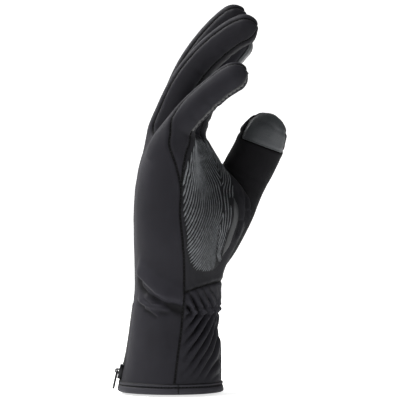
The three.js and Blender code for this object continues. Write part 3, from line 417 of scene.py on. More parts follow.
def measures(points):
    """Every seam's measure at some points, with the places that the measures were made from."""
    turn = hand_turn(points)
    signed = (turn + 4) % 8 - 4
    seams = rows_at(HAND_ROWS, row_position(HAND_ROWS, points[:, 2] / HAND_HEIGHT))[:, 17:]
    hand_back = np.minimum(signed - (seams[:, 3] - 8), seams[:, 0] - signed) * MM_PER_LANDMARK
    hand_front = np.minimum(turn - seams[:, 1], seams[:, 2] - turn) * MM_PER_LANDMARK
    near = np.stack([sampled(fields[name], points) for name in FINGERS])
    sideways = np.stack([abs(points[:, 1] - DIGITS[name]["base"][1]) for name in FINGERS])
    own = (near + 0.1 * sideways).argmin(0)
    along, angle, upon = np.zeros(len(points)), np.zeros(len(points)), np.zeros(len(points))
    for k, name in enumerate(FINGERS):
        mine = np.nonzero((own == k) & (points[:, 2] > 120))[0]
        along[mine], angle[mine] = digit_place(points[mine], name)
        upon[mine] = ramp(6, 21, along[mine] * DIGITS[name]["length"])
    outer = (own == 0) & (angle < 0)
    leaf_back, leaf_front = (np.radians(np.interp(along, LITTLE_WALL[:, 0], LITTLE_WALL[:, k]))
                             for k in (1, 2))
    back_half = np.where(outer, leaf_back, BACK_HALF)
    front_half = np.where(outer, leaf_front, FRONT_HALF)
    finger_back = (back_half - abs(angle)) * FINGER_DEPTH / 2
    finger_front = (abs(angle) - (math.pi - front_half)) * FINGER_DEPTH / 2
    mixed = lambda a, b: np.clip(a, -5, 5) * (1 - upon) + np.clip(b, -5, 5) * upon
    thumb_along, thumb_angle = np.zeros(len(points)), np.zeros(len(points))
    near_thumb = np.nonzero(sampled(fields["thumb"], points) < 5)[0]
    thumb_along[near_thumb], thumb_angle[near_thumb] = digit_place(points[near_thumb], "thumb")
    body = np.minimum(sampled(fields["hand"], points), near.min(0))
    lengths = np.array([DIGITS[name]["length"] for name in FINGERS])[own]
    cap_back = (thumb_along - 1) * DIGITS["thumb"]["length"] + THUMB_CAP_LENGTH
    from_pad = (thumb_angle - THUMB_PAD_CENTRE + math.pi) % (2 * math.pi) - math.pi
    cap_side = (THUMB_PAD_HALF - abs(from_pad)) * THUMB_RADIUS
    slope = math.hypot(1, WRIST_SEAM_RISE)
    wrist_height = WRIST_SEAM_HEIGHT + WRIST_SEAM_RISE * (points[:, 0] - 0.24 * HAND_DEPTH)
    return {
        "turn": turn, "signed": signed, "own": own, "along": along, "angle": angle, "upon": upon,
        "thumb_along": thumb_along, "thumb_angle": thumb_angle,
        "back": mixed(hand_back, finger_back),
        "front": mixed(hand_front, finger_front),
        "wrist": (points[:, 2] - wrist_height) / slope,
        "thumb": body - sampled(fields["thumb"], points),
        "index_cap": np.where(own == 3, (along - 1) * lengths + INDEX_CAP_LENGTH, -9.0),
        "thumb_cap": np.minimum(cap_back, cap_side),
        "hem": points[:, 2] - (HEM_HEIGHT - 2.5),
        "slot": np.maximum(np.maximum(abs(points[:, 1] - ZIP_Y) - ZIP_SLOT_WIDTH / 2,
                                      points[:, 2] - ZIP_LENGTH), points[:, 0] + 12),
    }


# %% [markdown]
# A zero line rarely runs along mesh edges, so the mesh is cut where the line crosses it. Points that
# are already very near the line are taken as being on it, which avoids needle-thin faces.

# %% Cut the form along its seams
ON_LINE = 0.14 * VOXEL


def cut_along(bm, key):
    bm.verts.ensure_lookup_table()
    points = np.array([v.co for v in bm.verts])
    value = measures(points)[key]
    value[abs(value) < ON_LINE] = 0
    bm.verts.index_update()
    marked = {v for v, x in zip(bm.verts, value) if x == 0}
    ends = np.array([(e.verts[0].index, e.verts[1].index) for e in bm.edges])
    a, b = value[ends[:, 0]], value[ends[:, 1]]
    bm.edges.ensure_lookup_table()
    crossing = [(bm.edges[i], a[i] / (a[i] - b[i])) for i in np.nonzero(a * b < 0)[0]]
    for edge, share in crossing:
        if abs(share) < 1:
            marked.add(bmesh.utils.edge_split(edge, edge.verts[0], share)[1])
    bmesh.ops.connect_verts(bm, verts=list(marked))
    return len(crossing)


cutter = bmesh.new()
for p in form_points:
    cutter.verts.new(p)
cutter.verts.ensure_lookup_table()
for q in form_quads:
    cutter.faces.new([cutter.verts[i] for i in q])
for key in SEAM_KEYS:
    print("cut along", key, cut_along(cutter, key))
cutter.verts.index_update()
skin = np.array([v.co for v in cutter.verts])
skin_faces = [[v.index for v in f.verts] for f in cutter.faces]
place = measures(skin)
print("skin:", len(skin), "points", len(skin_faces), "faces")

# %% [markdown]
# A face's panel follows from the signs of its measures. The walls beside the fingers are filled in
# first. The palm, the back, the caps and the thumb are then laid over them, in an order that lets the
# piece on top win.

# %% Name the panel that each face belongs to
PANELS = ["back_panel", "palm_panel", "cuff_front_panel", "thumb_panel", "thumb_tip_cap", "index_tip_cap",
          "side_panel_little", "fourchette_little_ring", "fourchette_ring_middle", "fourchette_middle_index",
          "side_panel_index"]
corner_count = np.array([len(f) for f in skin_faces])
corner_start = np.concatenate([[0], np.cumsum(corner_count)[:-1]])
corners = np.concatenate(skin_faces)


def face_mean(values):
    return np.add.reduceat(values[corners], corner_start) / corner_count


at_face = {key: face_mean(np.where(abs(place[key]) < ON_LINE, 0, place[key])) for key in SEAM_KEYS}
middle = np.stack([face_mean(skin[:, k]) for k in range(3)], -1)
face_place = measures(middle)
wall = face_place["own"] + (np.where(middle[:, 2] > 140, face_place["angle"] > 0, face_place["signed"] < 0))
panel = np.array([6, 7, 8, 9, 10])[np.clip(wall, 0, 4)]
low_side = middle[:, 2] < 140
panel[low_side] = np.where(face_place["signed"][low_side] > 0, 6, 10)
front = at_face["front"] > 0
panel[front] = np.where(at_face["wrist"][front] > 0, 1, 2)
panel[front & (at_face["index_cap"] > 0)] = 5
panel[at_face["back"] > 0] = 0
thumb = at_face["thumb"] > 0
panel[thumb] = np.where(at_face["thumb_cap"][thumb] > 0, 4, 3)
panel[(at_face["hem"] < 0) | (at_face["slot"] < 0)] = -1
for k, name in enumerate(PANELS):
    print(name, int((panel == k).sum()), "faces")

# %% [markdown]
# ## Folds in the cloth
# Soft-shell is thick enough to fold in soft rolls, not creases. Each fold is a ridge with a gentle
# upper side and a steep lower one, drawn along a short line over the glove. A little noise keeps the
# cloth from looking machined. All of it moves points along the surface's normal.

# %% Noise that is the same on every run


def lattice(i, j, k, seed):
    h = (i * 73856093) ^ (j * 19349663) ^ (k * 83492791) ^ (seed * 2654435761)
    h = (h ^ (h >> 13)) * 1274126177
    return ((h ^ (h >> 16)) & 0xFFFFFF) / float(0xFFFFFF) * 2 - 1


def noise(points, size, seed=1):
    """Smooth noise from -1 to 1, with lumps of about the given size."""
    at = points / size + 1000.0
    i = np.floor(at).astype(np.int64)
    f = at - i
    f = f * f * f * (f * (f * 6 - 15) + 10)
    total = np.zeros(len(points))
    for dx in (0, 1):
        for dy in (0, 1):
            for dz in (0, 1):
                w = (np.where(dx, f[:, 0], 1 - f[:, 0]) * np.where(dy, f[:, 1], 1 - f[:, 1])
                     * np.where(dz, f[:, 2], 1 - f[:, 2]))
                total += w * lattice(i[:, 0] + dx, i[:, 1] + dy, i[:, 2] + dz, seed)
    return total


# %% Folds along lines
def bell(x):
    return np.exp(-x * x)


def near_line(u, v, line):
    """Signed distance above a bent line, and how far along it, for points at (u, v)."""
    best = np.full(len(u), 1e9)
    above, share = np.zeros(len(u)), np.zeros(len(u))
    line = np.array(line, float)
    count = len(line) - 1
    for n in range(count):
        a, b = line[n], line[n + 1]
        run = b - a
        size = np.hypot(*run)
        t = np.clip(((u - a[0]) * run[0] + (v - a[1]) * run[1]) / size ** 2, 0, 1)
        du, dv = u - a[0] - t * run[0], v - a[1] - t * run[1]
        gap = np.hypot(du, dv)
        nearer = gap < best
        side = np.sign(run[0] * dv - run[1] * du) * (1 if run[0] >= 0 else -1)
        best = np.where(nearer, gap, best)
        above = np.where(nearer, gap * np.where(side == 0, 1, side), above)
        share = np.where(nearer, (n + t) / count, share)
    return above, share


def fold(u, v, line, rise, width):
    """A roll of cloth along a line: gentle above it, steep below it, with a dip at its foot."""
    above, share = near_line(u, v, line)
    ends = ramp(0.0, 0.3, share) * (1 - ramp(0.86, 1.0, share))
    roll = np.where(above > 0, bell(above / width), bell(above / (0.35 * width)))
    dip = bell((above + 0.75 * width) / (0.45 * width))
    return ends * (rise * roll - 0.5 * rise * dip)


# %% [markdown]
# Above and below the wrist, the cloth of the back rolls down towards the little finger's side. Each row
# is a bent line, then how far the roll stands out and how wide it is. The palm's folds are flatter.

# %% The hand's folds
LM = MM_PER_LANDMARK  # the lines' first numbers are landmarks, counted from the middle of the back
BACK_FOLDS = [  # line, rise, width
    ([(0.95 * LM, 77), (1.15 * LM, 74.5), (1.4 * LM, 71.5),
      (1.84 * LM, 64), (2.2 * LM, 59.5), (2.9 * LM, 54.5)], 3.6, 7.0),
    ([(1.12 * LM, 69), (1.32 * LM, 66), (1.62 * LM, 61.5), (2.3 * LM, 55.5)], 1.7, 3.6),
    ([(1.3 * LM, 60.5), (1.5 * LM, 58.5), (1.67 * LM, 56), (2.1 * LM, 54.5)], 1.5, 2.8),
    ([(0.95 * LM, 59.5), (1.27 * LM, 56), (1.75 * LM, 53), (2.25 * LM, 52)], 1.8, 3.6),
    ([(1.3 * LM, 53), (1.55 * LM, 51.5), (1.85 * LM, 48)], 1.4, 2.4),
    ([(-0.5 * LM, 70), (-1.1 * LM, 67), (-1.8 * LM, 61)], 1.6, 5.0),
    ([(-0.4 * LM, 59), (-1.0 * LM, 57), (-1.7 * LM, 54)], 1.3, 4.0),
]
PALM_FOLDS = [
    ([(4.86 * LM, 128), (4.66 * LM, 115), (4.62 * LM, 106), (4.7 * LM, 92)], 1.5, 2.2),
    ([(4.96 * LM, 122), (4.83 * LM, 112), (4.83 * LM, 103)], 1.1, 1.8),
    ([(2.58 * LM, 143), (2.76 * LM, 136), (2.94 * LM, 130.5)], 0.7, 2.4),
    ([(2.73 * LM, 158), (2.87 * LM, 140)], 0.7, 2.2),
    ([(4.98 * LM, 126), (4.9 * LM, 113), (4.8 * LM, 99)], 0.7, 1.8),
    ([(3.2 * LM, 147), (3.8 * LM, 143), (4.5 * LM, 146)], 0.7, 3.0),
    ([(3.0 * LM, 118), (3.9 * LM, 124), (4.6 * LM, 132)], 0.35, 4.0),
]


def hand_folds(turn, z):
    """All the folds of the hand and cuff. Those of the back end at its outer seam."""
    signed = (turn + 4) % 8 - 4
    rise = sum(fold(signed * LM, z, line, h, w) for line, h, w in BACK_FOLDS)
    rise = rise * (1 - ramp(2.5, 2.62, abs(signed)))
    return rise + sum(fold(turn * LM, z, line, h, w) for line, h, w in PALM_FOLDS)


# %% [markdown]
# The elastic at the wrist pulls the front of the cuff into gathers. They are deepest at the elastic and
# fan out below it towards the side seams, like the pleats of a drawn curtain.

# %% Gathers
WAIST = 50.0  # height of the elastic


def pleat(turns, pitch):
    """Round tops and sharp valleys, from -1 to 1."""
    return 2 * abs(np.cos(np.pi * turns / pitch)) ** 0.75 - 1


def gathers(turn, z, points):
    """Broad pleats on both sides of the elastic, small ones on it, and a groove along each edge of it."""
    side = ramp(2.45, 2.8, turn) * (1 - ramp(5.4, 5.75, turn))
    below = z < WAIST
    gap = abs(z - WAIST)
    lean = np.tanh((4.55 - turn) / 0.5)
    spot = turn + lean * np.where(below, 0.041, 0.032) * gap + 0.1 * noise(points, 17.0, 5)
    uneven = np.clip(1.0 + 0.75 * noise(points, 14.0, 7), 0.25, 1.8)
    strong = np.where(below, 0.85 * bell(gap / 33.0) * ramp(0, 12, z - 4), bell(gap / 11.0))
    broad = strong * uneven * (2.2 * pleat(spot - 3.54, 0.30) - 0.35)
    fine_spot = turn + 0.02 * gap * lean + 0.05 * noise(points, 6.0, 6)
    crumple = 1.35 * pleat(fine_spot - 3.4, 0.163) * (0.7 + 0.6 * noise(points, 7.0, 8))
    crumple = bell((z - WAIST - 1) / 6.5) * crumple
    shirred = -0.8 * (bell((z - WAIST - 2.8) / 0.8) + bell((z - WAIST + 1.8) / 0.8)) * uneven
    return side * (broad + crumple + shirred)


# %% [markdown]
# Where a finger bends, the cloth on its inner side is too long and rolls up in two or three soft rings.

# %% Finger creases
CREASES = {  # share of the length, depth in millimetres
    "little": [(0.30, 0.35), (0.45, 0.25), (0.62, 0.3)],
    "ring": [(0.33, 0.45), (0.56, 0.5), (0.76, 0.4)],
    "middle": [(0.33, 0.45), (0.55, 0.5), (0.75, 0.4)],
    "index": [(0.33, 0.45), (0.54, 0.5), (0.7, 0.35)],
    "thumb": [(0.26, 0.3), (0.46, 0.35), (0.62, 0.3)],
}


def digit_creases(along, angle, name, points):
    length = DIGITS[name]["length"]
    inner = np.clip(-np.cos(angle), 0, 1) ** 0.8
    wander = 1.2 * noise(points, 9.0, 11)
    rise = np.zeros(len(along))
    for share, depth in CREASES[name]:
        gap = (along - share) * length + wander
        beside = 0.5 * bell((gap - 3.4) / 2.4) + 0.5 * bell((gap + 3.4) / 2.4)
        rise += depth * inner * (beside - bell(gap / 1.3))
    return rise


# %% [markdown]
# ## Press the folds into the skin
# A seam holds the cloth down: its two edges roll inwards, so the surface dips along it and puckers a
# little on each side. The distance from the nearest seam point gives both.

# %% Seam distances
edge_panels = {}
for f, k in zip(skin_faces, panel):
    for a, b in zip(f, f[1:] + f[:1]):
        edge_panels.setdefault((min(a, b), max(a, b)), []).append(int(k))
seam_edges = [e for e, k in edge_panels.items() if len(k) == 2 and k[0] != k[1]
              and (min(k) >= 0 or min(skin[e[0], 2], skin[e[1], 2]) > HEM_HEIGHT)]
seam_points = np.unique(np.array(seam_edges).ravel())
seam_tree = KDTree(len(seam_points))
for n, i in enumerate(seam_points):
    seam_tree.insert(skin[i], n)
seam_tree.balance()
seam_gap = np.array([seam_tree.find(p)[2] for p in skin])
print("seam edges", len(seam_edges), "length", round(sum(
    float(np.linalg.norm(skin[a] - skin[b])) for a, b in seam_edges)), "mm")


# %% Mesh helper
def mesh_of(name, points, faces):
    mesh = bpy.data.meshes.new(name)
    mesh.from_pydata([tuple(p) for p in np.asarray(points)], [], [tuple(f) for f in faces])
    mesh.update()
    return mesh


def point_normals(points, faces):
    mesh = mesh_of("measuring", points, faces)
    normals = np.zeros(len(points) * 3)
    mesh.vertices.foreach_get("normal", normals)
    bpy.data.meshes.remove(mesh)
    return normals.reshape(-1, 3)


# %% Displace
skin_normals = point_normals(skin, skin_faces)
turn, z = place["turn"], skin[:, 2]
on_thumb = place["thumb"] > 0
on_finger = place["upon"]
of_hand = hand_folds(turn, z) * (z < 165) + gathers(turn, z, skin) * (z < 95)
rise = (1 - on_finger) * np.where(on_thumb, 0, of_hand)
for k, name in enumerate(FINGERS):
    mine = np.nonzero((place["own"] == k) & (on_finger > 0))[0]
    creases = digit_creases(place["along"][mine], place["angle"][mine], name, skin[mine])
    rise[mine] += on_finger[mine] * creases
mine = np.nonzero(on_thumb)[0]
rise[mine] += digit_creases(place["thumb_along"][mine], place["thumb_angle"][mine], "thumb", skin[mine])
rise += 0.28 * noise(skin, 17.0, 2) + 0.10 * noise(skin, 6.0, 3)
smooth_cap = on_thumb & (place["thumb_cap"] > 0)
rise[smooth_cap] *= 0.35
pucker = (0.2 + 0.12 * noise(skin, 20.0, 9)) * noise(skin, 2.4, 4) * bell(seam_gap / 3.0)
seam_dip = -0.8 * bell(seam_gap / 0.9) + 0.16 * bell((seam_gap - 2.4) / 1.2)
cloth = skin + skin_normals * (rise + pucker + seam_dip)[:, None]
cloth_normals = point_normals(cloth, skin_faces)
print("displaced by", round(float(rise.min()), 2), "to", round(float(rise.max()), 2), "mm")

# %% [markdown]
# The palm's print lies in one outline, which is round at its lower end and widens towards the thumb
# and the fingers. The cloth inside it is a little darker and smoother, so the outline is kept for every
# point as a share that fades out over its edge.

# %% The print's outline
GRIP_EDGES = np.array([  # height, left and right edge in landmarks
    (74.5, 3.2, 3.45), (75.3, 2.98, 3.75), (77, 2.84, 4.05), (80, 2.75, 4.28), (84, 2.70, 4.42),
    (91, 2.67, 4.5), (101, 2.67, 4.52), (114, 2.67, 4.55), (127, 2.65, 4.62), (138, 2.66, 4.9),
    (147, 2.8, 5.1), (157.5, 3.1, 5.1)])
EDGE_FADE = 0.02
grip_left = np.interp(z, GRIP_EDGES[:, 0], GRIP_EDGES[:, 1])
grip_right = np.interp(z, GRIP_EDGES[:, 0], GRIP_EDGES[:, 2])
right_of_left = ramp(grip_left - EDGE_FADE, grip_left + EDGE_FADE, turn)
left_of_right = 1 - ramp(grip_right - EDGE_FADE, grip_right + EDGE_FADE, turn)
between_ends = ramp(74.2, 75.2, z) * (1 - ramp(150, 158, z))
printed = right_of_left * left_of_right * between_ends * (1 - on_finger) * ~on_thumb
print("printed cloth points", int((printed > 0.5).sum()))

# %% [markdown]
# ## Panels with a thickness
# Cloth has two faces and an edge. Each panel is lifted out of the skin, given an inner face one wall
# deeper, and closed along its edge, so it reads as a real sewn piece where the cuff shows its inside.

# %% Where cloth lies when flat
def weave_coordinates(name, ids):
    """Where each point lies on the flat cloth, in millimetres."""
    signed, angle = place["signed"][ids], place["angle"][ids]
    up = place["upon"][ids]
    own = place["own"][ids]
    length = np.array([DIGITS[f]["length"] for f in FINGERS])[own]
    centre = np.array([DIGITS[f]["base"][1] for f in FINGERS])[own]
    if name.startswith("thumb"):
        return place["thumb_angle"][ids] * THUMB_RADIUS, place["thumb_along"][ids] * DIGITS["thumb"]["length"]
    radius = FINGER_DEPTH / 2
    if name.startswith(("palm", "cuff", "index_tip")):
        u_hand = place["turn"][ids] * LM
        u_finger = centre + 4 * LM + (math.pi - abs(angle)) * np.sign(angle) * radius
    elif name.startswith("back"):
        u_hand = signed * LM
        u_finger = -centre - angle * radius
    else:
        u_hand = signed * LM
        u_finger = angle * radius
    v = skin[ids, 2] * (1 - up) + (KNUCKLE + place["along"][ids] * length) * up
    return u_hand * (1 - up) + u_finger * up, v


# %% Helpers for any mesh
FAR_FROM_SEAM = 20.0


def mark(mesh, label, values):
    """Store one number for each point, for the finishes to read."""
    mesh.attributes.new(label, "FLOAT", "POINT").data.foreach_set("value", values.astype(np.float32))


def smooth_but_sharp_over(mesh, degrees):
    mesh.polygons.foreach_set("use_smooth", np.ones(len(mesh.polygons), dtype=bool))
    mesh.set_sharp_from_angle(angle=math.radians(degrees))


def face_outwards(mesh):
    fresh = bmesh.new()
    fresh.from_mesh(mesh)
    bmesh.ops.recalc_face_normals(fresh, faces=fresh.faces)
    fresh.to_mesh(mesh)
    fresh.free()


def corner_points(mesh):
    """The point number at every face corner."""
    loops = np.zeros(len(mesh.loops), dtype=np.int32)
    mesh.loops.foreach_get("vertex_index", loops)
    return loops


def lay_out(mesh, corners_at):
    mesh.uv_layers.new(name="weave").data.foreach_set("uv", corners_at.astype(np.float32).ravel())


def linked(name, data):
    """A new object in the scene."""
    made = bpy.data.objects.new(name, data)
    bpy.context.scene.collection.objects.link(made)
    return made


# %% Thick panels
WRAP_JUMP = 2.5  # centimetres across one face, which only happens where the layout starts again


def unwrapped(mesh, at, period):
    """Corner coordinates with the faces that straddle the layout's start moved to one side."""
    starts = np.zeros(len(mesh.polygons), dtype=np.int32)
    mesh.polygons.foreach_get("loop_start", starts)
    widest = np.maximum.reduceat(at[:, 0], starts)
    wraps = widest - np.minimum.reduceat(at[:, 0], starts) > WRAP_JUMP
    of_loop = np.repeat(np.arange(len(starts)), np.diff(np.append(starts, len(at))))
    at[:, 0] += np.where(wraps[of_loop] & (at[:, 0] < widest[of_loop] - WRAP_JUMP), period, 0)
    return at


def thick_panel(name, chosen):
    """One closed piece of cloth from some of the skin's faces."""
    faces = [skin_faces[i] for i in chosen]
    ids = np.unique(np.concatenate(faces))
    new = {old: n for n, old in enumerate(ids)}
    count = len(ids)
    outer = [[new[i] for i in f] for f in faces]
    inner = [[i + count for i in reversed(f)] for f in outer]
    used = {}
    for f in outer:
        for a, b in zip(f, f[1:] + f[:1]):
            used[(a, b)] = True
    rim = [[b, a, a + count, b + count] for a, b in used if (b, a) not in used]
    points = np.vstack([cloth[ids], cloth[ids] - cloth_normals[ids] * WALL])
    mesh = mesh_of(name, points * MM, outer + inner + rim)
    inside = np.concatenate([np.zeros(count), np.ones(count)])
    mark(mesh, "inside", inside)
    # The seam distance and fold height drive painted shade in seams and fold valleys, and paler fold tops
    # that are partly wear and partly painted highlight.
    mark(mesh, "seam", np.tile(np.minimum(seam_gap[ids], FAR_FROM_SEAM), 2))
    mark(mesh, "fold", np.tile(rise[ids], 2))
    mark(mesh, "print", np.tile(printed[ids], 2))
    flat = np.tile(np.stack(weave_coordinates(name, ids), -1), (2, 1)) * CM
    period = CM * (2 * math.pi * THUMB_RADIUS if name.startswith("thumb") else 8 * LM)
    lay_out(mesh, unwrapped(mesh, flat[corner_points(mesh)], period))
    smooth_but_sharp_over(mesh, 62)
    piece = linked(name + "_cloth", mesh)
    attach(piece, "glove")
    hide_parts(name)
    return piece


pieces = {name: thick_panel(name, np.nonzero(panel == k)[0]) for k, name in enumerate(PANELS)}
for name, piece in pieces.items():
    print(name, len(piece.data.polygons), "faces")

# %% [markdown]
# ## Hem binding
# The cuff's edge is bound with a rolled strip. A thin cord of cloth runs above the roll, and one row of
# thread lies in the groove between them. It is one profile swept round the opening, from one side of
# the zip to the other. The groove, the upper edge and the strip's join are marked as seams, so that the
# finish paints shade into them.

# %% Hem
HEM_PROFILE = [  # out from the cuff's surface, height
    (-1.9, 1.2), (-1.7, 0.35), (-1.0, 0.02), (-0.2, 0.0), (0.4, 0.25), (0.85, 0.8), (1.05, 1.6), (1.0, 2.4),
    (0.95, 3.2), (0.7, 3.8), (0.35, 4.15), (0.05, 4.35), (0.05, 4.6), (0.4, 4.8), (0.75, 5.15), (0.9, 5.6),
    (0.8, 6.05), (0.45, 6.4), (0.1, 6.6), (-0.35, 6.8), (-0.8, 7.2), (-1.7, 7.1), (-1.95, 6.4), (-2.0, 3.6),
]
HEM_GROOVE, HEM_UPPER_EDGE = 4.47, 6.85  # heights
HEM_JOIN_TURN = 2.45
slot_half = (ZIP_SLOT_WIDTH / 2 + 0.1) / LM
hem_turns = np.linspace(ZIP_TURN + slot_half, 8 + ZIP_TURN - slot_half, 640)


def hem_ring(out, height):
    """One line of the profile round the opening, waved a little."""
    xy = ring_points(height, hem_turns, 0.0)[0]
    grown = ring_points(height, hem_turns, 1.0)[0]
    at = np.column_stack([xy, np.full(len(xy), height)])
    wave = 0.12 * noise(at, 5.0, 21) + 0.2 * noise(at, 16.0, 22)
    xy = xy + (grown - xy) * (out + wave * (height > 0.2))[:, None]
    return np.column_stack([xy, np.full(len(xy), height)])


def hem_piece():
    points = np.concatenate([hem_ring(out, height) for out, height in HEM_PROFILE])
    n, m = len(hem_turns), len(HEM_PROFILE)
    faces = [[r * n + i, r * n + i + 1, ((r + 1) % m) * n + i + 1, ((r + 1) % m) * n + i]
             for r in range(m) for i in range(n - 1)]
    faces += [[r * n for r in reversed(range(m))], [r * n + n - 1 for r in range(m)]]
    mesh = mesh_of("hem_binding", points * MM, faces)
    face_outwards(mesh)
    flat = np.stack([np.tile(hem_turns * LM, m), points[:, 2]], -1) * CM
    lay_out(mesh, flat[corner_points(mesh)])
    outside = np.repeat(np.array([out > -0.6 for out, _ in HEM_PROFILE]), n)
    levels = np.repeat(np.array([height for _, height in HEM_PROFILE]), n)
    # Painted shade: these distances make the finish darken the groove, the upper edge and the join.
    groove = np.minimum(abs(levels - HEM_GROOVE) + 0.25, abs(levels - HEM_UPPER_EDGE) * 0.8 + 0.1)
    join = abs(np.tile(hem_turns, m) - HEM_JOIN_TURN) * LM * 1.4 + 0.1
    gap = np.where(outside, np.minimum(groove, join), FAR_FROM_SEAM)
    mark(mesh, "inside", 0 * gap)
    mark(mesh, "seam", gap)
    mark(mesh, "fold", 0 * gap)
    smooth_but_sharp_over(mesh, 70)
    piece = linked("hem_binding_cloth", mesh)
    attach(piece, "glove")
    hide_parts("hem_binding")
    return piece


pieces["hem_binding"] = hem_piece()
print("hem", len(pieces["hem_binding"].data.polygons), "faces")

# %% [markdown]
# ## Thread and welts
# A seam is read by its thread. Each stitch is a tiny capsule with sunken ends, and one function lays a
# whole row of them in a single mesh. A welt, the folded edge of a leather cap, is a cord swept along
# the seam.

# %% Seam lines as ordered runs


def seam_runs(first, second):
    """The seam between two panels, as runs of neighbouring skin points."""
    pair = {PANELS.index(first), PANELS.index(second)}
    links = {}
    for (a, b), k in edge_panels.items():
        if len(k) == 2 and set(k) == pair:
            links.setdefault(a, set()).add(b)
            links.setdefault(b, set()).add(a)
    runs = []
    while links:
        run = [next((p for p in links if len(links[p]) == 1), next(iter(links)))]
        while links.get(run[-1]):
            here = run[-1]
            onward = links[here].pop()
            links[onward].discard(here)
            run.append(onward)
        for p in run:
            if p in links and not links[p]:
                del links[p]
        if len(run) > 8:
            runs.append(np.array(run))
    return runs


def smoothed(values, rounds=3):
    for _ in range(rounds):
        values = np.vstack([values[:1], (values[:-2] + 2 * values[1:-1] + values[2:]) / 4, values[-1:]])
    return values


def along_run(run, pitch, margin=0.0):
    """Evenly spaced places on a run: point, heading and normal."""
    points, normals = smoothed(cloth[run]), smoothed(cloth_normals[run])
    steps = np.linalg.norm(np.diff(points, axis=0), axis=1)
    travelled = np.concatenate([[0], np.cumsum(steps)])
    if travelled[-1] < 2 * margin + 2 * pitch:
        return None
    at = np.arange(margin, travelled[-1] - margin, pitch)
    spot = np.column_stack([np.interp(at, travelled, points[:, i]) for i in range(3)])
    normal = unit(np.column_stack([np.interp(at, travelled, normals[:, i]) for i in range(3)]))
    heading = unit(np.gradient(spot, axis=0))
    return spot, heading, normal


# %% Rows of stitches and cords
STITCH_RINGS = np.array([  # along, thickness, lift
    (-0.5, 0.45, -1.1), (-0.36, 0.9, 0.0), (-0.12, 1.0, 0.45),
    (0.12, 1.0, 0.45), (0.36, 0.9, 0.0), (0.5, 0.45, -1.1)])
STITCH_SIDES = 6


def tube_faces(rings, sides):
    """Faces of a tube of equal rings, with a face on each end."""
    faces = [[r * sides + i, r * sides + (i + 1) % sides,
              (r + 1) * sides + (i + 1) % sides, (r + 1) * sides + i]
             for r in range(rings - 1) for i in range(sides)]
    return faces + [list(reversed(range(sides))), list(range((rings - 1) * sides, rings * sides))]


def stitches(spot, heading, up, length, radius):
    """Points and faces of one capsule at each spot."""
    side = unit(np.cross(heading, up))
    angles = np.arange(STITCH_SIDES) * 2 * np.pi / STITCH_SIDES
    along, thick, lift = STITCH_RINGS.T
    points = (spot[:, None, None] + heading[:, None, None] * (along * length)[None, :, None, None]
              + up[:, None, None] * (radius * lift)[None, :, None, None]
              + side[:, None, None] * (radius * thick[:, None] * np.cos(angles))[None, :, :, None]
              + up[:, None, None] * (radius * thick[:, None] * np.sin(angles))[None, :, :, None])
    rings = len(along)
    each = rings * STITCH_SIDES
    one = tube_faces(rings, STITCH_SIDES)
    faces = [[n * each + i for i in f] for n in range(len(spot)) for f in one]
    return points.reshape(-1, 3), faces


def cord(spot, normal, radius, sides=8):
    """Points and faces of a round cord through the spots. radius is one number or one for each spot."""
    heading = unit(np.gradient(spot, axis=0))
    side = unit(np.cross(heading, normal))
    up = np.cross(side, heading)
    angles = np.arange(sides) * 2 * np.pi / sides
    radius = np.broadcast_to(radius, len(spot))
    points = (spot[:, None] + side[:, None] * (radius[:, None] * np.cos(angles))[..., None]
              + up[:, None] * (radius[:, None] * np.sin(angles))[..., None])
    return points.reshape(-1, 3), tube_faces(len(spot), sides)


def gathered(parts):
    """Several point and face lists as one."""
    points, faces, start = [], [], 0
    for p, f in parts:
        points.append(p)
        faces += [[i + start for i in g] for g in f]
        start += len(p)
    return np.vstack(points), faces


def small_piece(name, parts, body="glove", stands_for=()):
    """One object from several point and face lists, which rides on a body."""
    points, faces = gathered(parts)
    mesh = mesh_of(name, points * MM, faces)
    face_outwards(mesh)
    mesh.polygons.foreach_set("use_smooth", np.ones(len(mesh.polygons), dtype=bool))
    mark(mesh, "seam", np.full(len(mesh.vertices), FAR_FROM_SEAM))
    piece = linked(name, mesh)
    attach(piece, body)
    if stands_for:
        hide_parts(*stands_for)
    print(name, len(faces), "faces")
    return piece


# %% [markdown]
# The panels are sewn right sides together, so only short bars of thread show down in the groove.

# %% Seam thread
BAR_PITCH, BAR_LENGTH, BAR_RADIUS, BAR_LIFT = 2.3, 1.15, 0.13, 0.12
SEAMS = [
    ("back_panel", "side_panel_little"), ("back_panel", "side_panel_index"), ("back_panel", "palm_panel"),
    ("back_panel", "fourchette_little_ring"), ("back_panel", "fourchette_ring_middle"),
    ("back_panel", "fourchette_middle_index"), ("palm_panel", "side_panel_little"),
    ("palm_panel", "side_panel_index"), ("palm_panel", "fourchette_little_ring"),
    ("palm_panel", "fourchette_ring_middle"), ("palm_panel", "fourchette_middle_index"),
    ("palm_panel", "cuff_front_panel"), ("back_panel", "cuff_front_panel"), ("palm_panel", "thumb_panel"),
]
bars = []
for first, second in SEAMS:
    for run in seam_runs(first, second):
        placed = along_run(run, BAR_PITCH, 1.0)
        if placed is None:
            continue
        spot, heading, normal = placed
        across = unit(np.cross(heading, normal))
        bars.append(stitches(spot + normal * BAR_LIFT, across, normal, BAR_LENGTH, BAR_RADIUS))
pieces["seam_thread"] = small_piece("seam_thread", bars)

# %% [markdown]
# The little finger's front seam is overlocked on the outside. Its edge is pulled in, so it stands up in
# small lobes, with about two loops of thread over each. A cord whose thickness and path swell once for
# each lobe gives that edge. It begins a little above the knuckle.

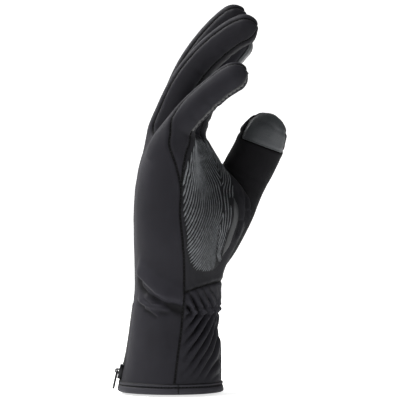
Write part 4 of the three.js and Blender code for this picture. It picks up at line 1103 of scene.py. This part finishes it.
# %% Overlocked edge of the little finger
LOBE_PITCH, RUFFLE_STEP = 2.9, 0.5
RUFFLE_START = 160  # height
ruffle = []
for run in seam_runs("palm_panel", "side_panel_little"):
    placed = along_run(run, RUFFLE_STEP, RUFFLE_STEP)
    if placed is None or placed[0][:, 2].max() < RUFFLE_START + 5:
        continue
    high = placed[0][:, 2] > RUFFLE_START
    if high.sum() < 20:
        continue
    spot, heading, normal = (column[high] for column in placed)
    travelled = np.arange(len(spot)) * RUFFLE_STEP
    lobes = abs(np.sin(np.pi * travelled / LOBE_PITCH))
    sway = 0.25 * np.sin(2 * np.pi * travelled / LOBE_PITCH)
    across = np.cross(heading, normal)
    wavy = spot + normal * (0.15 + 0.35 * lobes)[:, None] + across * sway[:, None]
    ruffle.append(cord(wavy, normal, 0.4 + 0.5 * lobes))
    loops = np.arange(2, len(spot) - 2, 3)
    ruffle.append(stitches(spot[loops] + normal[loops] * 0.75, across[loops], normal[loops], 1.9, 0.16))
pieces["overlock"] = small_piece("overlock_ruffle", ruffle)

# %% [markdown]
# A leather cap is folded under along its edge. The fold makes a welt on the cap's side of the seam, and
# a row of stitches runs on the cloth's side. Which side is which is found from the middle of the cap.

# %% Leather cap welts
CAP_SEAMS = [
    ("thumb_tip_cap", "thumb_panel"), ("index_tip_cap", "palm_panel"),
    ("index_tip_cap", "fourchette_middle_index"), ("index_tip_cap", "side_panel_index"),
]


def towards_cap(cap, spot, heading, normal):
    """Directions across a seam that point to the cap."""
    of_cap = np.unique(np.concatenate([skin_faces[i] for i in np.nonzero(panel == PANELS.index(cap))[0]]))
    across = np.cross(heading, normal)
    return across * np.sign(((cloth[of_cap].mean(0) - spot) * across).sum(1))[:, None]


welts, cap_thread = [], []
for cap, beside in CAP_SEAMS:
    for run in seam_runs(cap, beside):
        placed = along_run(run, 0.8)
        if placed is not None:
            spot, _, normal = placed
            across = towards_cap(cap, *placed)
            welts.append(cord(spot + across * 0.55 + normal * 0.28, normal, 0.52))
        placed = along_run(run, 2.1, 0.6)
        if placed is not None:
            spot, heading, normal = placed
            across = towards_cap(cap, *placed)
            cap_thread.append(stitches(spot - across * 1.5 + normal * 0.1, heading, normal, 1.5, 0.15))
pieces["cap_welts"] = small_piece("cap_welts", welts)
pieces["cap_thread"] = small_piece("cap_thread", cap_thread)

# %% [markdown]
# ## The silicone grip
# The palm carries fine raised lines of silicone, laid as chevrons. They climb from the outer edge to a
# peak past the middle of the palm, fall again towards the thumb, and stand upright near the fingers.
# Three tables say how far apart they are round the hand, how much they lean at each height and where
# their peaks lie.

# %% The print's tables
GRIP_RISE = 0.45
GRIP_PITCH = np.array([(2.2, 2.7), (3.6, 2.7), (4.2, 1.75), (5.8, 1.75)])  # landmarks, mm between lines
GRIP_BOTTOM, GRIP_TOP = 74.5, 157.5
GRIP_LEAN = np.array([  # height, millimetres round the hand for each millimetre up
    (74, 1.4), (85, 1.2), (98, 1.0), (108, 0.85), (117, 0.6), (126, 0.3), (135, 0.1), (158, 0.0)])
GRIP_APEX = np.array([(74, 4.0), (100, 4.0), (125, 4.3), (158, 4.9)])  # height, landmarks at the peaks
GRIP_MARGIN = 0.4  # kept free inside the print's outline
BAND_WIDTH, BAND_RISE = 5.2, 0.3

# %% [markdown]
# A line is drawn round the hand and up, as on a flat sheet. A ray from outside then finds the cloth under
# each of its points, and a low rounded section is swept along what was found.

# %% Drop a line on the palm
palm_tree = BVHTree.FromPolygons([tuple(p) for p in cloth], [tuple(f) for f in skin_faces])
PALM = PANELS.index("palm_panel")


def on_palm(s, height):
    """The cloth's point and normal at places round the hand, and whether the palm panel is there."""
    base = np.stack([ring_points(h, np.array([t / LM]), 0.0)[0, 0] for t, h in zip(s, height)])
    grown = np.stack([ring_points(h, np.array([t / LM]), 1.0)[0, 0] for t, h in zip(s, height)])
    out = grown - base
    points, normals, good = np.zeros((len(s), 3)), np.zeros((len(s), 3)), np.zeros(len(s), bool)
    for n in range(len(s)):
        start = Vector((*(base[n] + 7 * out[n]), height[n]))
        hit, normal, face, _ = palm_tree.ray_cast(start, Vector((*(-out[n]), 0)), 14)
        if hit is not None and panel[face] == PALM:
            points[n], normals[n], good[n] = hit, normal, True
    return points, normals, good


RIB_SECTION = [(-0.5, -0.25), (-0.38, 0.6), (-0.14, 1.0), (0.14, 1.0), (0.38, 0.6), (0.5, -0.25)]


def rib(points, normals, width, rise, taper=2):
    """Points and faces of one raised line, with ends that taper over a few points."""
    side = unit(np.cross(unit(np.gradient(points, axis=0)), normals))
    count = np.arange(len(points))
    ends = np.minimum(1, (np.minimum(count, count[::-1]) + 0.35) / taper)
    rows = []
    for a, b in RIB_SECTION:
        lift = rise * b * (ends if b > 0 else np.ones_like(ends))
        rows.append(points + side * (width * a * ends)[:, None] + normals * lift[:, None])
    return np.stack(rows, 1).reshape(-1, 3), tube_faces(len(points), len(RIB_SECTION))


def runs_of(good, shortest=4):
    """Starts and ends of the unbroken stretches."""
    padded = np.concatenate([[0], good.astype(int), [0]])
    changes = np.nonzero(np.diff(padded))[0].reshape(-1, 2)
    return [(a, b) for a, b in changes if b - a >= shortest]


# %% [markdown]
# Lines are counted round the hand, and the count drifts with height as the lines lean. Each line is
# where the drifting count meets its number. On the far side of the peaks the count runs backwards, so
# every line falls there as it rose before.

# %% Rising and falling lines
ribs = []
heights = np.arange(GRIP_BOTTOM + 0.3, GRIP_TOP, 0.9)
left = np.interp(heights, GRIP_EDGES[:, 0], GRIP_EDGES[:, 1]) * LM
right = np.interp(heights, GRIP_EDGES[:, 0], GRIP_EDGES[:, 2]) * LM
lean = np.interp(heights, GRIP_LEAN[:, 0], GRIP_LEAN[:, 1])
drift = np.cumsum(lean) * (heights[1] - heights[0]) / GRIP_PITCH[0, 1]
apex = np.interp(heights, GRIP_APEX[:, 0], GRIP_APEX[:, 1]) * LM
turns_fine = np.linspace(2.2, 5.8, 500)
pitches = np.interp(turns_fine, GRIP_PITCH[:, 0], GRIP_PITCH[:, 1])
counted = np.cumsum(LM / pitches) * (turns_fine[1] - turns_fine[0])
apex_count = np.interp(apex / LM, turns_fine, counted)
banded = (heights > 84) & (heights < 119)
limit = np.where(banded, right - BAND_WIDTH, right) - GRIP_MARGIN
for number in range(-30, 50):
    rising = np.interp(number + drift, counted, turns_fine) * LM
    falling = np.interp(2 * apex_count - number - drift, counted, turns_fine) * LM
    before_apex = (rising > left + GRIP_MARGIN) & (rising < np.minimum(apex, limit))
    past_apex = (falling > apex) & (falling < limit)
    for s, inside in ((rising, before_apex), (falling, past_apex)):
        for a, b in runs_of(inside):
            points, normals, good = on_palm(s[a:b], heights[a:b])
            for c, d in runs_of(good, 8):
                width = 0.46 * np.interp(s[a:b][c:d] / LM, GRIP_PITCH[:, 0], GRIP_PITCH[:, 1])
                ribs.append(rib(smoothed(points[c:d], 2), unit(smoothed(normals[c:d], 3)), width, GRIP_RISE))
print("grip lines", len(ribs))

# %% [markdown]
# A plain band of the same silicone closes the print on the thumb's side. It is one wide rib. Its points
# carry 0 where the lines carry a large number, and the finish reads that to make the band darker.

# %% The plain band
line_points = sum(len(part[0]) for part in ribs)
band_rows = heights[(heights > 83) & (heights < 120)]
band_s = np.interp(band_rows, GRIP_EDGES[:, 0], GRIP_EDGES[:, 2]) * LM - BAND_WIDTH / 2
points, normals, good = on_palm(band_s, band_rows)
for c, d in runs_of(good, 5):
    spot, normal = smoothed(points[c:d], 4), unit(smoothed(normals[c:d], 6))
    ribs.append(rib(spot, normal, BAND_WIDTH * 0.8, BAND_RISE, taper=7))
pieces["grip_print"] = small_piece("grip_lines", ribs, stands_for=("grip_print",))
band_points = np.full(len(pieces["grip_print"].data.vertices), FAR_FROM_SEAM, dtype=np.float32)
band_points[line_points:] = 0.0
pieces["grip_print"].data.attributes["seam"].data.foreach_set("value", band_points)

# %% [markdown]
# ## The hem's thread
# One row of stitches holds the hem. It lies in the groove between the roll and the cord, as a line of
# short dashes.

# %% Hem thread
HEM_STITCH_PITCH, HEM_STITCH_LENGTH, HEM_STITCH_RADIUS = 2.35, 1.5, 0.26
HEM_THREAD_HEIGHT, HEM_THREAD_OUT = 4.48, 0.3
spots = np.arange(hem_turns[0] + 0.03, hem_turns[-1] - 0.03, HEM_STITCH_PITCH / LM)
xy = ring_points(HEM_THREAD_HEIGHT, spots, 0.0)[0]
normal = unit(ring_points(HEM_THREAD_HEIGHT, spots, 1.0)[0] - xy)
at = np.column_stack([xy + normal * HEM_THREAD_OUT, np.full(len(xy), HEM_THREAD_HEIGHT)])
up = np.column_stack([normal, np.zeros(len(xy))])
hem_row = stitches(at, unit(np.gradient(at, axis=0)), up, HEM_STITCH_LENGTH, HEM_STITCH_RADIUS)
pieces["hem_thread"] = small_piece("hem_thread", [hem_row])

# %% [markdown]
# ## The zip
# A coil zip is two rows of small loops on a woven tape, closed by a slider. The loops are laid one by
# one across the line of the slot, left and right in turn. The slider and its pull have the shapes of
# the fixed frame, with their edges rounded as a casting's are.

# %% Zip line
ZIP_TOP = ZIP_LENGTH - 0.3


def zip_line(heights):
    """Points on the zip's line, with the directions out, across and up."""
    turn_of_zip = np.array([ZIP_TURN])
    spot = ring_points(heights, turn_of_zip, 0.0)[:, 0]
    out = unit(ring_points(heights, turn_of_zip, 1.0)[:, 0] - spot)
    spot3 = np.column_stack([spot, heights])
    out3 = np.column_stack([out, np.zeros(len(spot))])
    up3 = unit(np.gradient(spot3, axis=0))
    return spot3, unit(np.cross(np.cross(up3, out3), up3)), unit(np.cross(up3, out3)), up3


# %% Coil
COIL_PITCH, LOOP_LENGTH, LOOP_RADIUS = 1.35, 2.6, 0.44
coil = []
for side_sign, shift in ((-1, 0.25), (1, 0.75)):
    spot, out, across, up = zip_line(np.arange(0.6 + shift * COIL_PITCH, ZIP_TOP - 1.2, COIL_PITCH))
    loops = spot + across * side_sign * 0.62 + out * 0.12
    coil.append(stitches(loops, across, out, LOOP_LENGTH, LOOP_RADIUS))
    spot, out, across, up = zip_line(np.linspace(0.4, ZIP_TOP - 0.8, 60))
    coil.append(cord(spot + across * side_sign * 1.75 - out * 0.35, out, 0.42, sides=6))
pieces["zip_teeth"] = small_piece("zip_coil", coil, stands_for=("zip_teeth",))

# %% Tape
TAPE_HALF, TAPE_SINK, TAPE_THICKNESS = 4.6, 1.05, 0.6
spot, out, across, up = zip_line(np.linspace(0.25, ZIP_TOP, 70))
columns = np.linspace(-TAPE_HALF, TAPE_HALF, 47)
ripple = 0.05 * np.cos(columns * 2 * np.pi / 0.8) - TAPE_SINK
top = spot[:, None] + across[:, None] * columns[None, :, None] + out[:, None] * ripple[None, :, None]
under = top - out[:, None] * TAPE_THICKNESS
n, m = top.shape[:2]
sheet = np.concatenate([top.reshape(-1, 3), under.reshape(-1, 3)])
tape_faces = [[r * m + i, r * m + i + 1, (r + 1) * m + i + 1, (r + 1) * m + i]
              for r in range(n - 1) for i in range(m - 1)]
tape_faces += [[n * m + i for i in reversed(f)] for f in tape_faces]
border = ([(0, i) for i in range(m)] + [(r, m - 1) for r in range(1, n)]
          + [(n - 1, i) for i in reversed(range(m - 1))] + [(r, 0) for r in reversed(range(1, n - 1))])
loop = [r * m + i for r, i in border]
tape_faces += [[a, b, b + n * m, a + n * m] for a, b in zip(loop, loop[1:] + loop[:1])]
pieces["zip_tape"] = small_piece("zip_tape_woven", [(sheet, tape_faces)], stands_for=("zip_tape",))

# %% Tape thread
tape_rows = []
for side_sign in (-1, 1):
    spot, out, across, up = zip_line(np.arange(8.5, ZIP_TOP - 1, 2.1))
    tape_rows.append(stitches(spot + across * side_sign * 2.65 - out * 0.95, up, out, 1.4, 0.14))
pieces["tape_thread"] = small_piece("tape_thread", tape_rows)


# %% Slider and pull, with rounded edges
def rounded(node, width):
    """A copy of a hard part of the frame with its edges rounded."""
    mesh = bpy.data.objects[node].data.copy()
    mesh.name = node + "_cast"
    fresh = bmesh.new()
    fresh.from_mesh(mesh)
    bmesh.ops.remove_doubles(fresh, verts=fresh.verts, dist=1e-6)
    bmesh.ops.dissolve_limit(fresh, angle_limit=math.radians(2), verts=fresh.verts, edges=fresh.edges)
    sharp = [e for e in fresh.edges if len(e.link_faces) == 2 and e.calc_face_angle(0) > math.radians(28)]
    bmesh.ops.bevel(fresh, geom=sharp, offset=width * MM, segments=3, profile=0.6, affect="EDGES",
                    clamp_overlap=True)
    fresh.to_mesh(mesh)
    fresh.free()
    mesh.materials.clear()
    smooth_but_sharp_over(mesh, 50)
    piece = linked(node + "_cast", mesh)
    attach(piece, "zip_pull" if node == "zip_pull" else "glove")
    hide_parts(node)
    print(node, len(mesh.polygons), "faces")
    return piece


pieces["zip_slider"] = rounded("zip_slider", 0.16)
pieces["zip_pull"] = rounded("zip_pull", 0.2)

# %% [markdown]
# ## Finishes
# Every finish is a few textures wired into one shader. A small helper adds a node and wires its inputs,
# so that each recipe stays short. Patterns use the weave coordinates, in centimetres on the flat
# cloth, or the object's own space where a material has no thread direction.

# %% Wiring helper


class Recipe:
    """One material, its shader, and a short way to add wired nodes."""

    def __init__(self, name, **sockets):
        self.material = bpy.data.materials.new(name)
        self.material.use_nodes = True
        self.tree = self.material.node_tree
        self.shader = self.tree.nodes["Principled BSDF"]
        for socket, value in sockets.items():
            self.shader.inputs[socket.replace("_", " ")].default_value = value

    def add(self, kind, inputs=(), out=0, **settings):
        node = self.tree.nodes.new("ShaderNode" + kind)
        for key, value in settings.items():
            setattr(node, key, value)
        for socket, value in dict(inputs).items():
            if isinstance(value, bpy.types.NodeSocket):
                self.tree.links.new(value, node.inputs[socket])
            else:
                node.inputs[socket].default_value = value
        return node.outputs[out]

    def math(self, operation, *values):
        return self.add("Math", dict(enumerate(values)), operation=operation)

    def blend(self, share, first, second):
        """A colour between two colours."""
        return self.add("Mix", {0: share, 6: first, 7: second}, out=2, data_type="RGBA")

    def between(self, share, first, second):
        """A number between two numbers."""
        return self.add("Mix", {0: share, 2: first, 3: second}, data_type="FLOAT")

    def attribute(self, name):
        return self.add("Attribute", out=2, attribute_name=name)

    def band(self, value, low, high):
        """A share that runs from 0 to 1 between two values."""
        limits = {0: value, 1: low, 2: high, 3: 0.0, 4: 1.0}
        return self.add("MapRange", limits, interpolation_type="SMOOTHSTEP")

    def space(self):
        return self.add("TexCoord", out=3)

    def noise(self, scale, detail=3.0, rough=0.55):
        settings = {"Vector": self.space(), "Scale": scale, "Detail": detail, "Roughness": rough}
        return self.add("TexNoise", settings)

    def flat(self):
        """The two weave coordinates."""
        at = self.add("UVMap", uv_map="weave")
        split = self.tree.nodes.new("ShaderNodeSeparateXYZ")
        self.tree.links.new(at, split.inputs[0])
        return split.outputs[0], split.outputs[1]

    def wave(self, value, pitch_mm):
        """A smooth wave along a weave coordinate."""
        return self.math("SINE", self.math("MULTIPLY", value, 2 * math.pi / (CM * pitch_mm)))

    def finish(self, colour, roughness, height, depth_mm):
        """Wire the colour, the roughness and the surface's small heights into the shader."""
        bump = self.add("Bump", {"Strength": 1.0, "Distance": depth_mm * MM, "Height": height})
        self.tree.links.new(colour, self.shader.inputs["Base Color"])
        self.tree.links.new(roughness, self.shader.inputs["Roughness"])
        self.tree.links.new(bump, self.shader.inputs["Normal"])
        return self.material


def grey(r, g=None, b=None):
    """A colour from one number, or a tinted one from three."""
    return (r, r if g is None else g, r if b is None else b, 1.0)


# %% [markdown]
# Soft-shell is a smooth stretch weave with a faint bloom at grazing angles. Threads cross at half a
# millimetre. It is painted a touch paler on the tops of folds, partly as rub wear and partly as a painted
# highlight, and painted shade darkens it in the valleys and down in the seams. The same mesh shows fleece
# on its inner side, so the finish changes over by the side of the cloth.

# %% Thread patterns
def woven(made, pitch):
    """Threads that cross."""
    u, v = made.flat()
    crossing = made.math("MULTIPLY", made.wave(u, 2 * pitch), made.wave(v, 2 * pitch))
    return made.math("MULTIPLY_ADD", crossing, 0.5, 0.5)


def knitted(made, pitch):
    """Columns of slanting loops."""
    u, v = made.flat()
    column = made.math("ABSOLUTE", made.wave(u, 2 * pitch))
    climb = made.math("MULTIPLY", v, 2 * math.pi / (CM * pitch))
    slant = made.math("MULTIPLY_ADD", column, 2.2, climb)
    return made.math("MULTIPLY_ADD", made.math("SINE", slant), 0.3, column)


# %% Cloth finishes
# The seam and valley shares set painted shade; the print's share is the print's own colour.
SEAM_SHADE, VALLEY_SHADE, PRINT_COVER = 0.93, 0.72, 0.8  # how much of the cloth's colour each one hides
FLEECE_DARK, FLEECE_LIGHT = grey(0.02, 0.02, 0.022), grey(0.075, 0.076, 0.082)


def cloth_finish(name, dark, light, thread_pitch, weave_depth, knit=False, rough=(0.55, 0.72),
                 bloom=0.025, bloom_tint=0.6, shine=0.1, printed=False):
    made = Recipe(name, Sheen_Weight=bloom, Sheen_Roughness=0.35, Sheen_Tint=grey(bloom_tint),
                  Specular_IOR_Level=shine)
    mottle = made.noise(95.0, 4.0)
    fibre = made.noise(2600.0, 2.0)
    pattern = (knitted if knit else woven)(made, thread_pitch)
    inside = made.attribute("inside")
    # Nearness to a seam, for the painted shade down in the seam grooves.
    seam = made.band(made.attribute("seam"), 0.42, 1.05)
    # Fold tops are made paler: partly rub wear, partly painted highlight.
    ridge_wear_and_highlight = made.band(made.attribute("fold"), 0.35, 1.5)
    share = made.math("MULTIPLY_ADD", mottle, 0.5, made.math("MULTIPLY", pattern, 0.35))
    share = made.math("MULTIPLY_ADD", ridge_wear_and_highlight, 0.35, share)
    face = made.blend(share, grey(*dark), grey(*light))
    # Painted shade: the cloth is darkened towards black in the valleys of folds and gathers.
    deep = made.band(made.math("MULTIPLY", made.attribute("fold"), -1.0), -0.2, 1.1)
    face = made.blend(made.math("MULTIPLY", deep, VALLEY_SHADE), face, grey(0.0015))
    # Painted shade: the cloth is darkened to near black down in the seams, where shadow falls.
    face = made.blend(made.math("MULTIPLY_ADD", seam, -SEAM_SHADE, SEAM_SHADE), face, grey(0.0012))
    lint = made.band(fibre, 0.68, 0.8)
    face = made.blend(made.math("MULTIPLY", lint, 0.12), face, grey(0.12))
    unevenness = made.math("MULTIPLY_ADD", fibre, 0.5, made.math("MULTIPLY", mottle, 0.5))
    roughness = made.between(unevenness, *rough)
    if printed:
        film = made.attribute("print")
        face = made.blend(made.math("MULTIPLY", film, PRINT_COVER), face, grey(0.0048, 0.0051, 0.0056))
        roughness = made.between(film, roughness, 0.42)
    fleece = made.noise(700.0, 5.0, 0.7)
    colour = made.blend(inside, face, made.blend(fleece, FLEECE_DARK, FLEECE_LIGHT))
    roughness = made.between(inside, roughness, 0.95)
    outer_height = made.math("MULTIPLY_ADD", fibre, 0.35, pattern)
    height = made.between(inside, outer_height, made.math("MULTIPLY", fleece, 5.0))
    return made.finish(colour, roughness, height, weave_depth)


FINISHES = {
    "soft_shell": cloth_finish(
        "soft_shell", (0.0066, 0.0064, 0.0083), (0.0155, 0.015, 0.0188), 0.42, 0.05, shine=0.08),
    "palm_fabric": cloth_finish(
        "palm_fabric", (0.0058, 0.0057, 0.007), (0.0158, 0.0157, 0.0182), 0.5, 0.07,
        rough=(0.62, 0.8), bloom=0.015, shine=0.08, printed=True),
    "thumb_fabric": cloth_finish(
        "thumb_fabric", (0.0024, 0.0023, 0.0028), (0.0086, 0.0084, 0.0096), 0.55, 0.06,
        knit=True, rough=(0.7, 0.85), bloom=0.01, bloom_tint=0.4, shine=0.06),
    "hem_fabric": cloth_finish(
        "hem_fabric", (0.013, 0.0127, 0.0154), (0.0305, 0.0298, 0.0358), 0.42, 0.06),
}

# %% [markdown]
# The touch caps are thin synthetic leather: a fine closed grain of small cells, and a soft, wide
# highlight. Cells of two sizes are laid over each other so that the grain doesn't look stamped.

# %% Leather
leather = Recipe("touch_leather", Specular_IOR_Level=0.32, Sheen_Weight=0.02, Sheen_Roughness=0.4)
fine = leather.add("TexVoronoi", {"Vector": leather.space(), "Scale": 1350.0}, feature="DISTANCE_TO_EDGE")
coarse = leather.add("TexVoronoi", {"Vector": leather.space(), "Scale": 620.0}, feature="DISTANCE_TO_EDGE")
fine_cells, coarse_cells = leather.band(fine, 0.0, 0.22), leather.band(coarse, 0.0, 0.12)
grain = leather.math("ADD", fine_cells, leather.math("MULTIPLY", coarse_cells, 0.6))
scuff = leather.noise(140.0, 5.0, 0.62)
leather_tone = leather.math("MULTIPLY_ADD", scuff, 0.6, leather.math("MULTIPLY", grain, 0.25))
leather_colour = leather.blend(leather_tone, grey(0.0175, 0.0192, 0.0208), grey(0.0395, 0.0432, 0.0465))
# Painted shade: the leather is darkened to near black along its seams.
leather_seam_shade = leather.math("MULTIPLY_ADD", leather.band(leather.attribute("seam"), 0.1, 1.1), -0.8, 0.8)
leather_colour = leather.blend(leather_seam_shade, leather_colour, grey(0.002))
leather_rough = leather.between(leather.band(scuff, 0.35, 0.7), 0.36, 0.5)
FINISHES["touch_leather"] = leather.finish(leather_colour, leather_rough, grain, 0.045)

# %% [markdown]
# Silicone picks up pale dust in patches. Thread is twisted from plies, which show as fine slanting
# bands, and tape is a herringbone of coarser thread.

# %% Silicone, thread and tape
silicone = Recipe("grip_silicone", Specular_IOR_Level=0.3)
dust = silicone.noise(320.0, 5.0, 0.65)
dusty = silicone.band(dust, 0.3, 0.75)
silicone_colour = silicone.blend(dusty, grey(0.044, 0.047, 0.051), grey(0.11, 0.116, 0.122))
off_band = silicone.band(silicone.attribute("seam"), 0.0, 1.0)
silicone_colour = silicone.blend(off_band, grey(0.021, 0.0222, 0.0235), silicone_colour)
FINISHES["grip_silicone"] = silicone.finish(
    silicone_colour, silicone.between(dust, 0.34, 0.6), silicone.noise(2200.0, 2.0), 0.03)


def thread_finish(name, dark, light):
    made = Recipe(name, Sheen_Weight=0.04, Sheen_Roughness=0.3, Specular_IOR_Level=0.15)
    ply = made.add("TexWave", {"Vector": made.space(), "Scale": 900.0, "Distortion": 3.0, "Detail": 2.0},
                   bands_direction="DIAGONAL")
    tone = made.math("MULTIPLY_ADD", made.noise(260.0), 0.7, made.math("MULTIPLY", ply, 0.3))
    return made.finish(made.blend(tone, grey(dark), grey(light)), made.between(ply, 0.45, 0.7), ply, 0.05)


FINISHES["thread"] = thread_finish("sewing_thread", 0.003, 0.012)
FINISHES["hem_thread"] = thread_finish("hem_sewing_thread", 0.0008, 0.003)
FINISHES["overlock_thread"] = thread_finish("overlock_thread", 0.03, 0.09)

tape = Recipe("zip_tape_weave", Sheen_Weight=0.2, Sheen_Roughness=0.4, Specular_IOR_Level=0.25)
herring = tape.add("TexWave", {"Vector": tape.space(), "Scale": 620.0, "Distortion": 1.2, "Detail": 1.0},
                   bands_direction="Z")
tape_tone = tape.math("MULTIPLY_ADD", tape.noise(420.0), 0.6, tape.math("MULTIPLY", herring, 0.3))
FINISHES["zip_tape"] = tape.finish(tape.blend(tape_tone, grey(0.004), grey(0.018, 0.018, 0.02)),
                                   tape.between(herring, 0.7, 0.88), herring, 0.1)

# %% [markdown]
# The coil is moulded plastic with a slight shine. The slider and pull are cast metal under dark lacquer,
# which has rubbed off in a few small spots.

# %% Zip plastic and lacquered metal
plastic = Recipe("zip_plastic", Specular_IOR_Level=0.55)
moulding = plastic.noise(900.0, 3.0)
FINISHES["zip_plastic"] = plastic.finish(
    plastic.blend(moulding, grey(0.004), grey(0.016)), plastic.between(moulding, 0.22, 0.42), moulding, 0.02)

metal = Recipe("zip_metal", Metallic=1.0, Coat_Weight=0.12, Coat_Roughness=0.3)
wear = metal.noise(1100.0, 6.0, 0.7)
worn = metal.band(wear, 0.62, 0.74)
FINISHES["zip_metal"] = metal.finish(
    metal.blend(worn, grey(0.014, 0.014, 0.0155), grey(0.09, 0.086, 0.082)), metal.between(wear, 0.28, 0.5),
    metal.noise(520.0, 4.0), 0.03)

# %% [markdown]
# Each piece gets one finish. A slot name is looked up for each piece, a thread taking the one of the
# cloth that it is sewn into, but it is not given to the piece.

# %% Put the finishes on
WEARS = {
    "back_panel": "soft_shell", "cuff_front_panel": "soft_shell", "side_panel_little": "soft_shell",
    "side_panel_index": "soft_shell", "fourchette_little_ring": "soft_shell",
    "fourchette_ring_middle": "soft_shell", "fourchette_middle_index": "soft_shell",
    "palm_panel": "palm_fabric", "thumb_panel": "thumb_fabric", "thumb_tip_cap": "touch_leather",
    "index_tip_cap": "touch_leather", "cap_welts": "touch_leather", "grip_print": "grip_silicone",
    "hem_binding": "hem_fabric", "zip_tape": "zip_tape", "zip_teeth": "zip_plastic",
    "zip_slider": "zip_metal", "zip_pull": "zip_metal",
}
THREADS = {"seam_thread": ("thread", "soft_shell"), "cap_thread": ("thread", "thumb_fabric"),
           "hem_thread": ("hem_thread", "hem_fabric"), "overlock": ("overlock_thread", "soft_shell"),
           "tape_thread": ("thread", "zip_tape")}
for name, piece in pieces.items():
    finish, slot = THREADS.get(name, (WEARS.get(name), WEARS.get(name)))
    piece.data.materials.clear()
    piece.data.materials.append(FINISHES[finish])

# %% [markdown]
# ## Studio
# The glove is seen from its little-finger side, twelve degrees towards the palm, through a long lens.
# Soft lights stand overhead and high at the left, so that the backs of the fingers shine and their
# gaps stay black, and a weak one fills the palm. A white sweep of paper makes floor and background in
# one. It is smooth and glows a little, so that it stays an even white.

# %% Camera
CAMERA_AZIMUTH = math.radians(12)
TARGET = Vector((17.13, 3.64, 118.42)) * MM
DISTANCE = 1.55
toward = Vector((math.sin(CAMERA_AZIMUTH), -math.cos(CAMERA_AZIMUTH), 0))
camera = linked("camera", bpy.data.cameras.new("camera"))
camera.data.lens = 225
camera.data.sensor_width = 36
camera.data.clip_start = 0.05
camera.data.clip_end = 20
camera.location = TARGET + toward * DISTANCE
camera.rotation_euler = toward.to_track_quat("Z", "Y").to_euler()
bpy.context.scene.camera = camera

# %% Floor
FLOOR_HEIGHT = -0.0015
SWEEP_HALF_WIDTH = 1.3


def sweep_of(radius, depth, height):
    """A floor that curves up into a wall behind, seen from the camera."""
    side = Vector((math.cos(CAMERA_AZIMUTH), math.sin(CAMERA_AZIMUTH), 0))
    profile = [(-depth, 0.0), (depth - radius, 0.0)]
    profile += [(depth - radius + radius * math.sin(a), radius - radius * math.cos(a))
                for a in np.radians(np.arange(7.5, 91, 7.5))]
    profile += [(depth, height)]
    points = [side * w - toward * d + Vector((0, 0, FLOOR_HEIGHT + h))
              for d, h in profile for w in (-SWEEP_HALF_WIDTH, SWEEP_HALF_WIDTH)]
    faces = [[2 * i, 2 * i + 1, 2 * i + 3, 2 * i + 2] for i in range(len(profile) - 1)]
    made = linked("sweep", mesh_of("sweep", points, faces))
    made.data.polygons.foreach_set("use_smooth", [True] * len(faces))
    return made


floor = sweep_of(1.0, 3.0, 1.8)
paper = Recipe("white_paper", Base_Color=grey(0.9), Roughness=0.7, Emission_Color=grey(1.0),
               Emission_Strength=0.72)
floor.data.materials.append(paper.material)


# %% Lights
def soft_light(name, place_at, aim, size, watts):
    lamp = bpy.data.lights.new(name, "AREA")
    lamp.shape = "RECTANGLE"
    lamp.size, lamp.size_y = size
    lamp.energy = watts
    light = linked(name, lamp)
    light.location = place_at
    light.rotation_euler = (Vector(place_at) - Vector(aim)).to_track_quat("Z", "Y").to_euler()


MIDDLE = (0.015, 0, 0.12)
soft_light("high_behind_back", (-0.8, 0.3, 0.8), MIDDLE, (0.6, 0.6), 13)
soft_light("overhead_left", (-0.55, -0.1, 1.25), MIDDLE, (0.5, 0.5), 26)
soft_light("key_upper_left", (-0.9, -1.1, 0.9), MIDDLE, (0.6, 0.6), 13)
soft_light("palm_side", (1.1, -0.5, 0.35), MIDDLE, (0.4, 0.8), 5)

world = bpy.data.worlds.new("studio")
world.use_nodes = True
world.node_tree.nodes["Background"].inputs["Color"].default_value = (1, 1, 1, 1)
world.node_tree.nodes["Background"].inputs["Strength"].default_value = 0.14
bpy.context.scene.world = world
bpy.context.scene.view_settings.view_transform = "Standard"
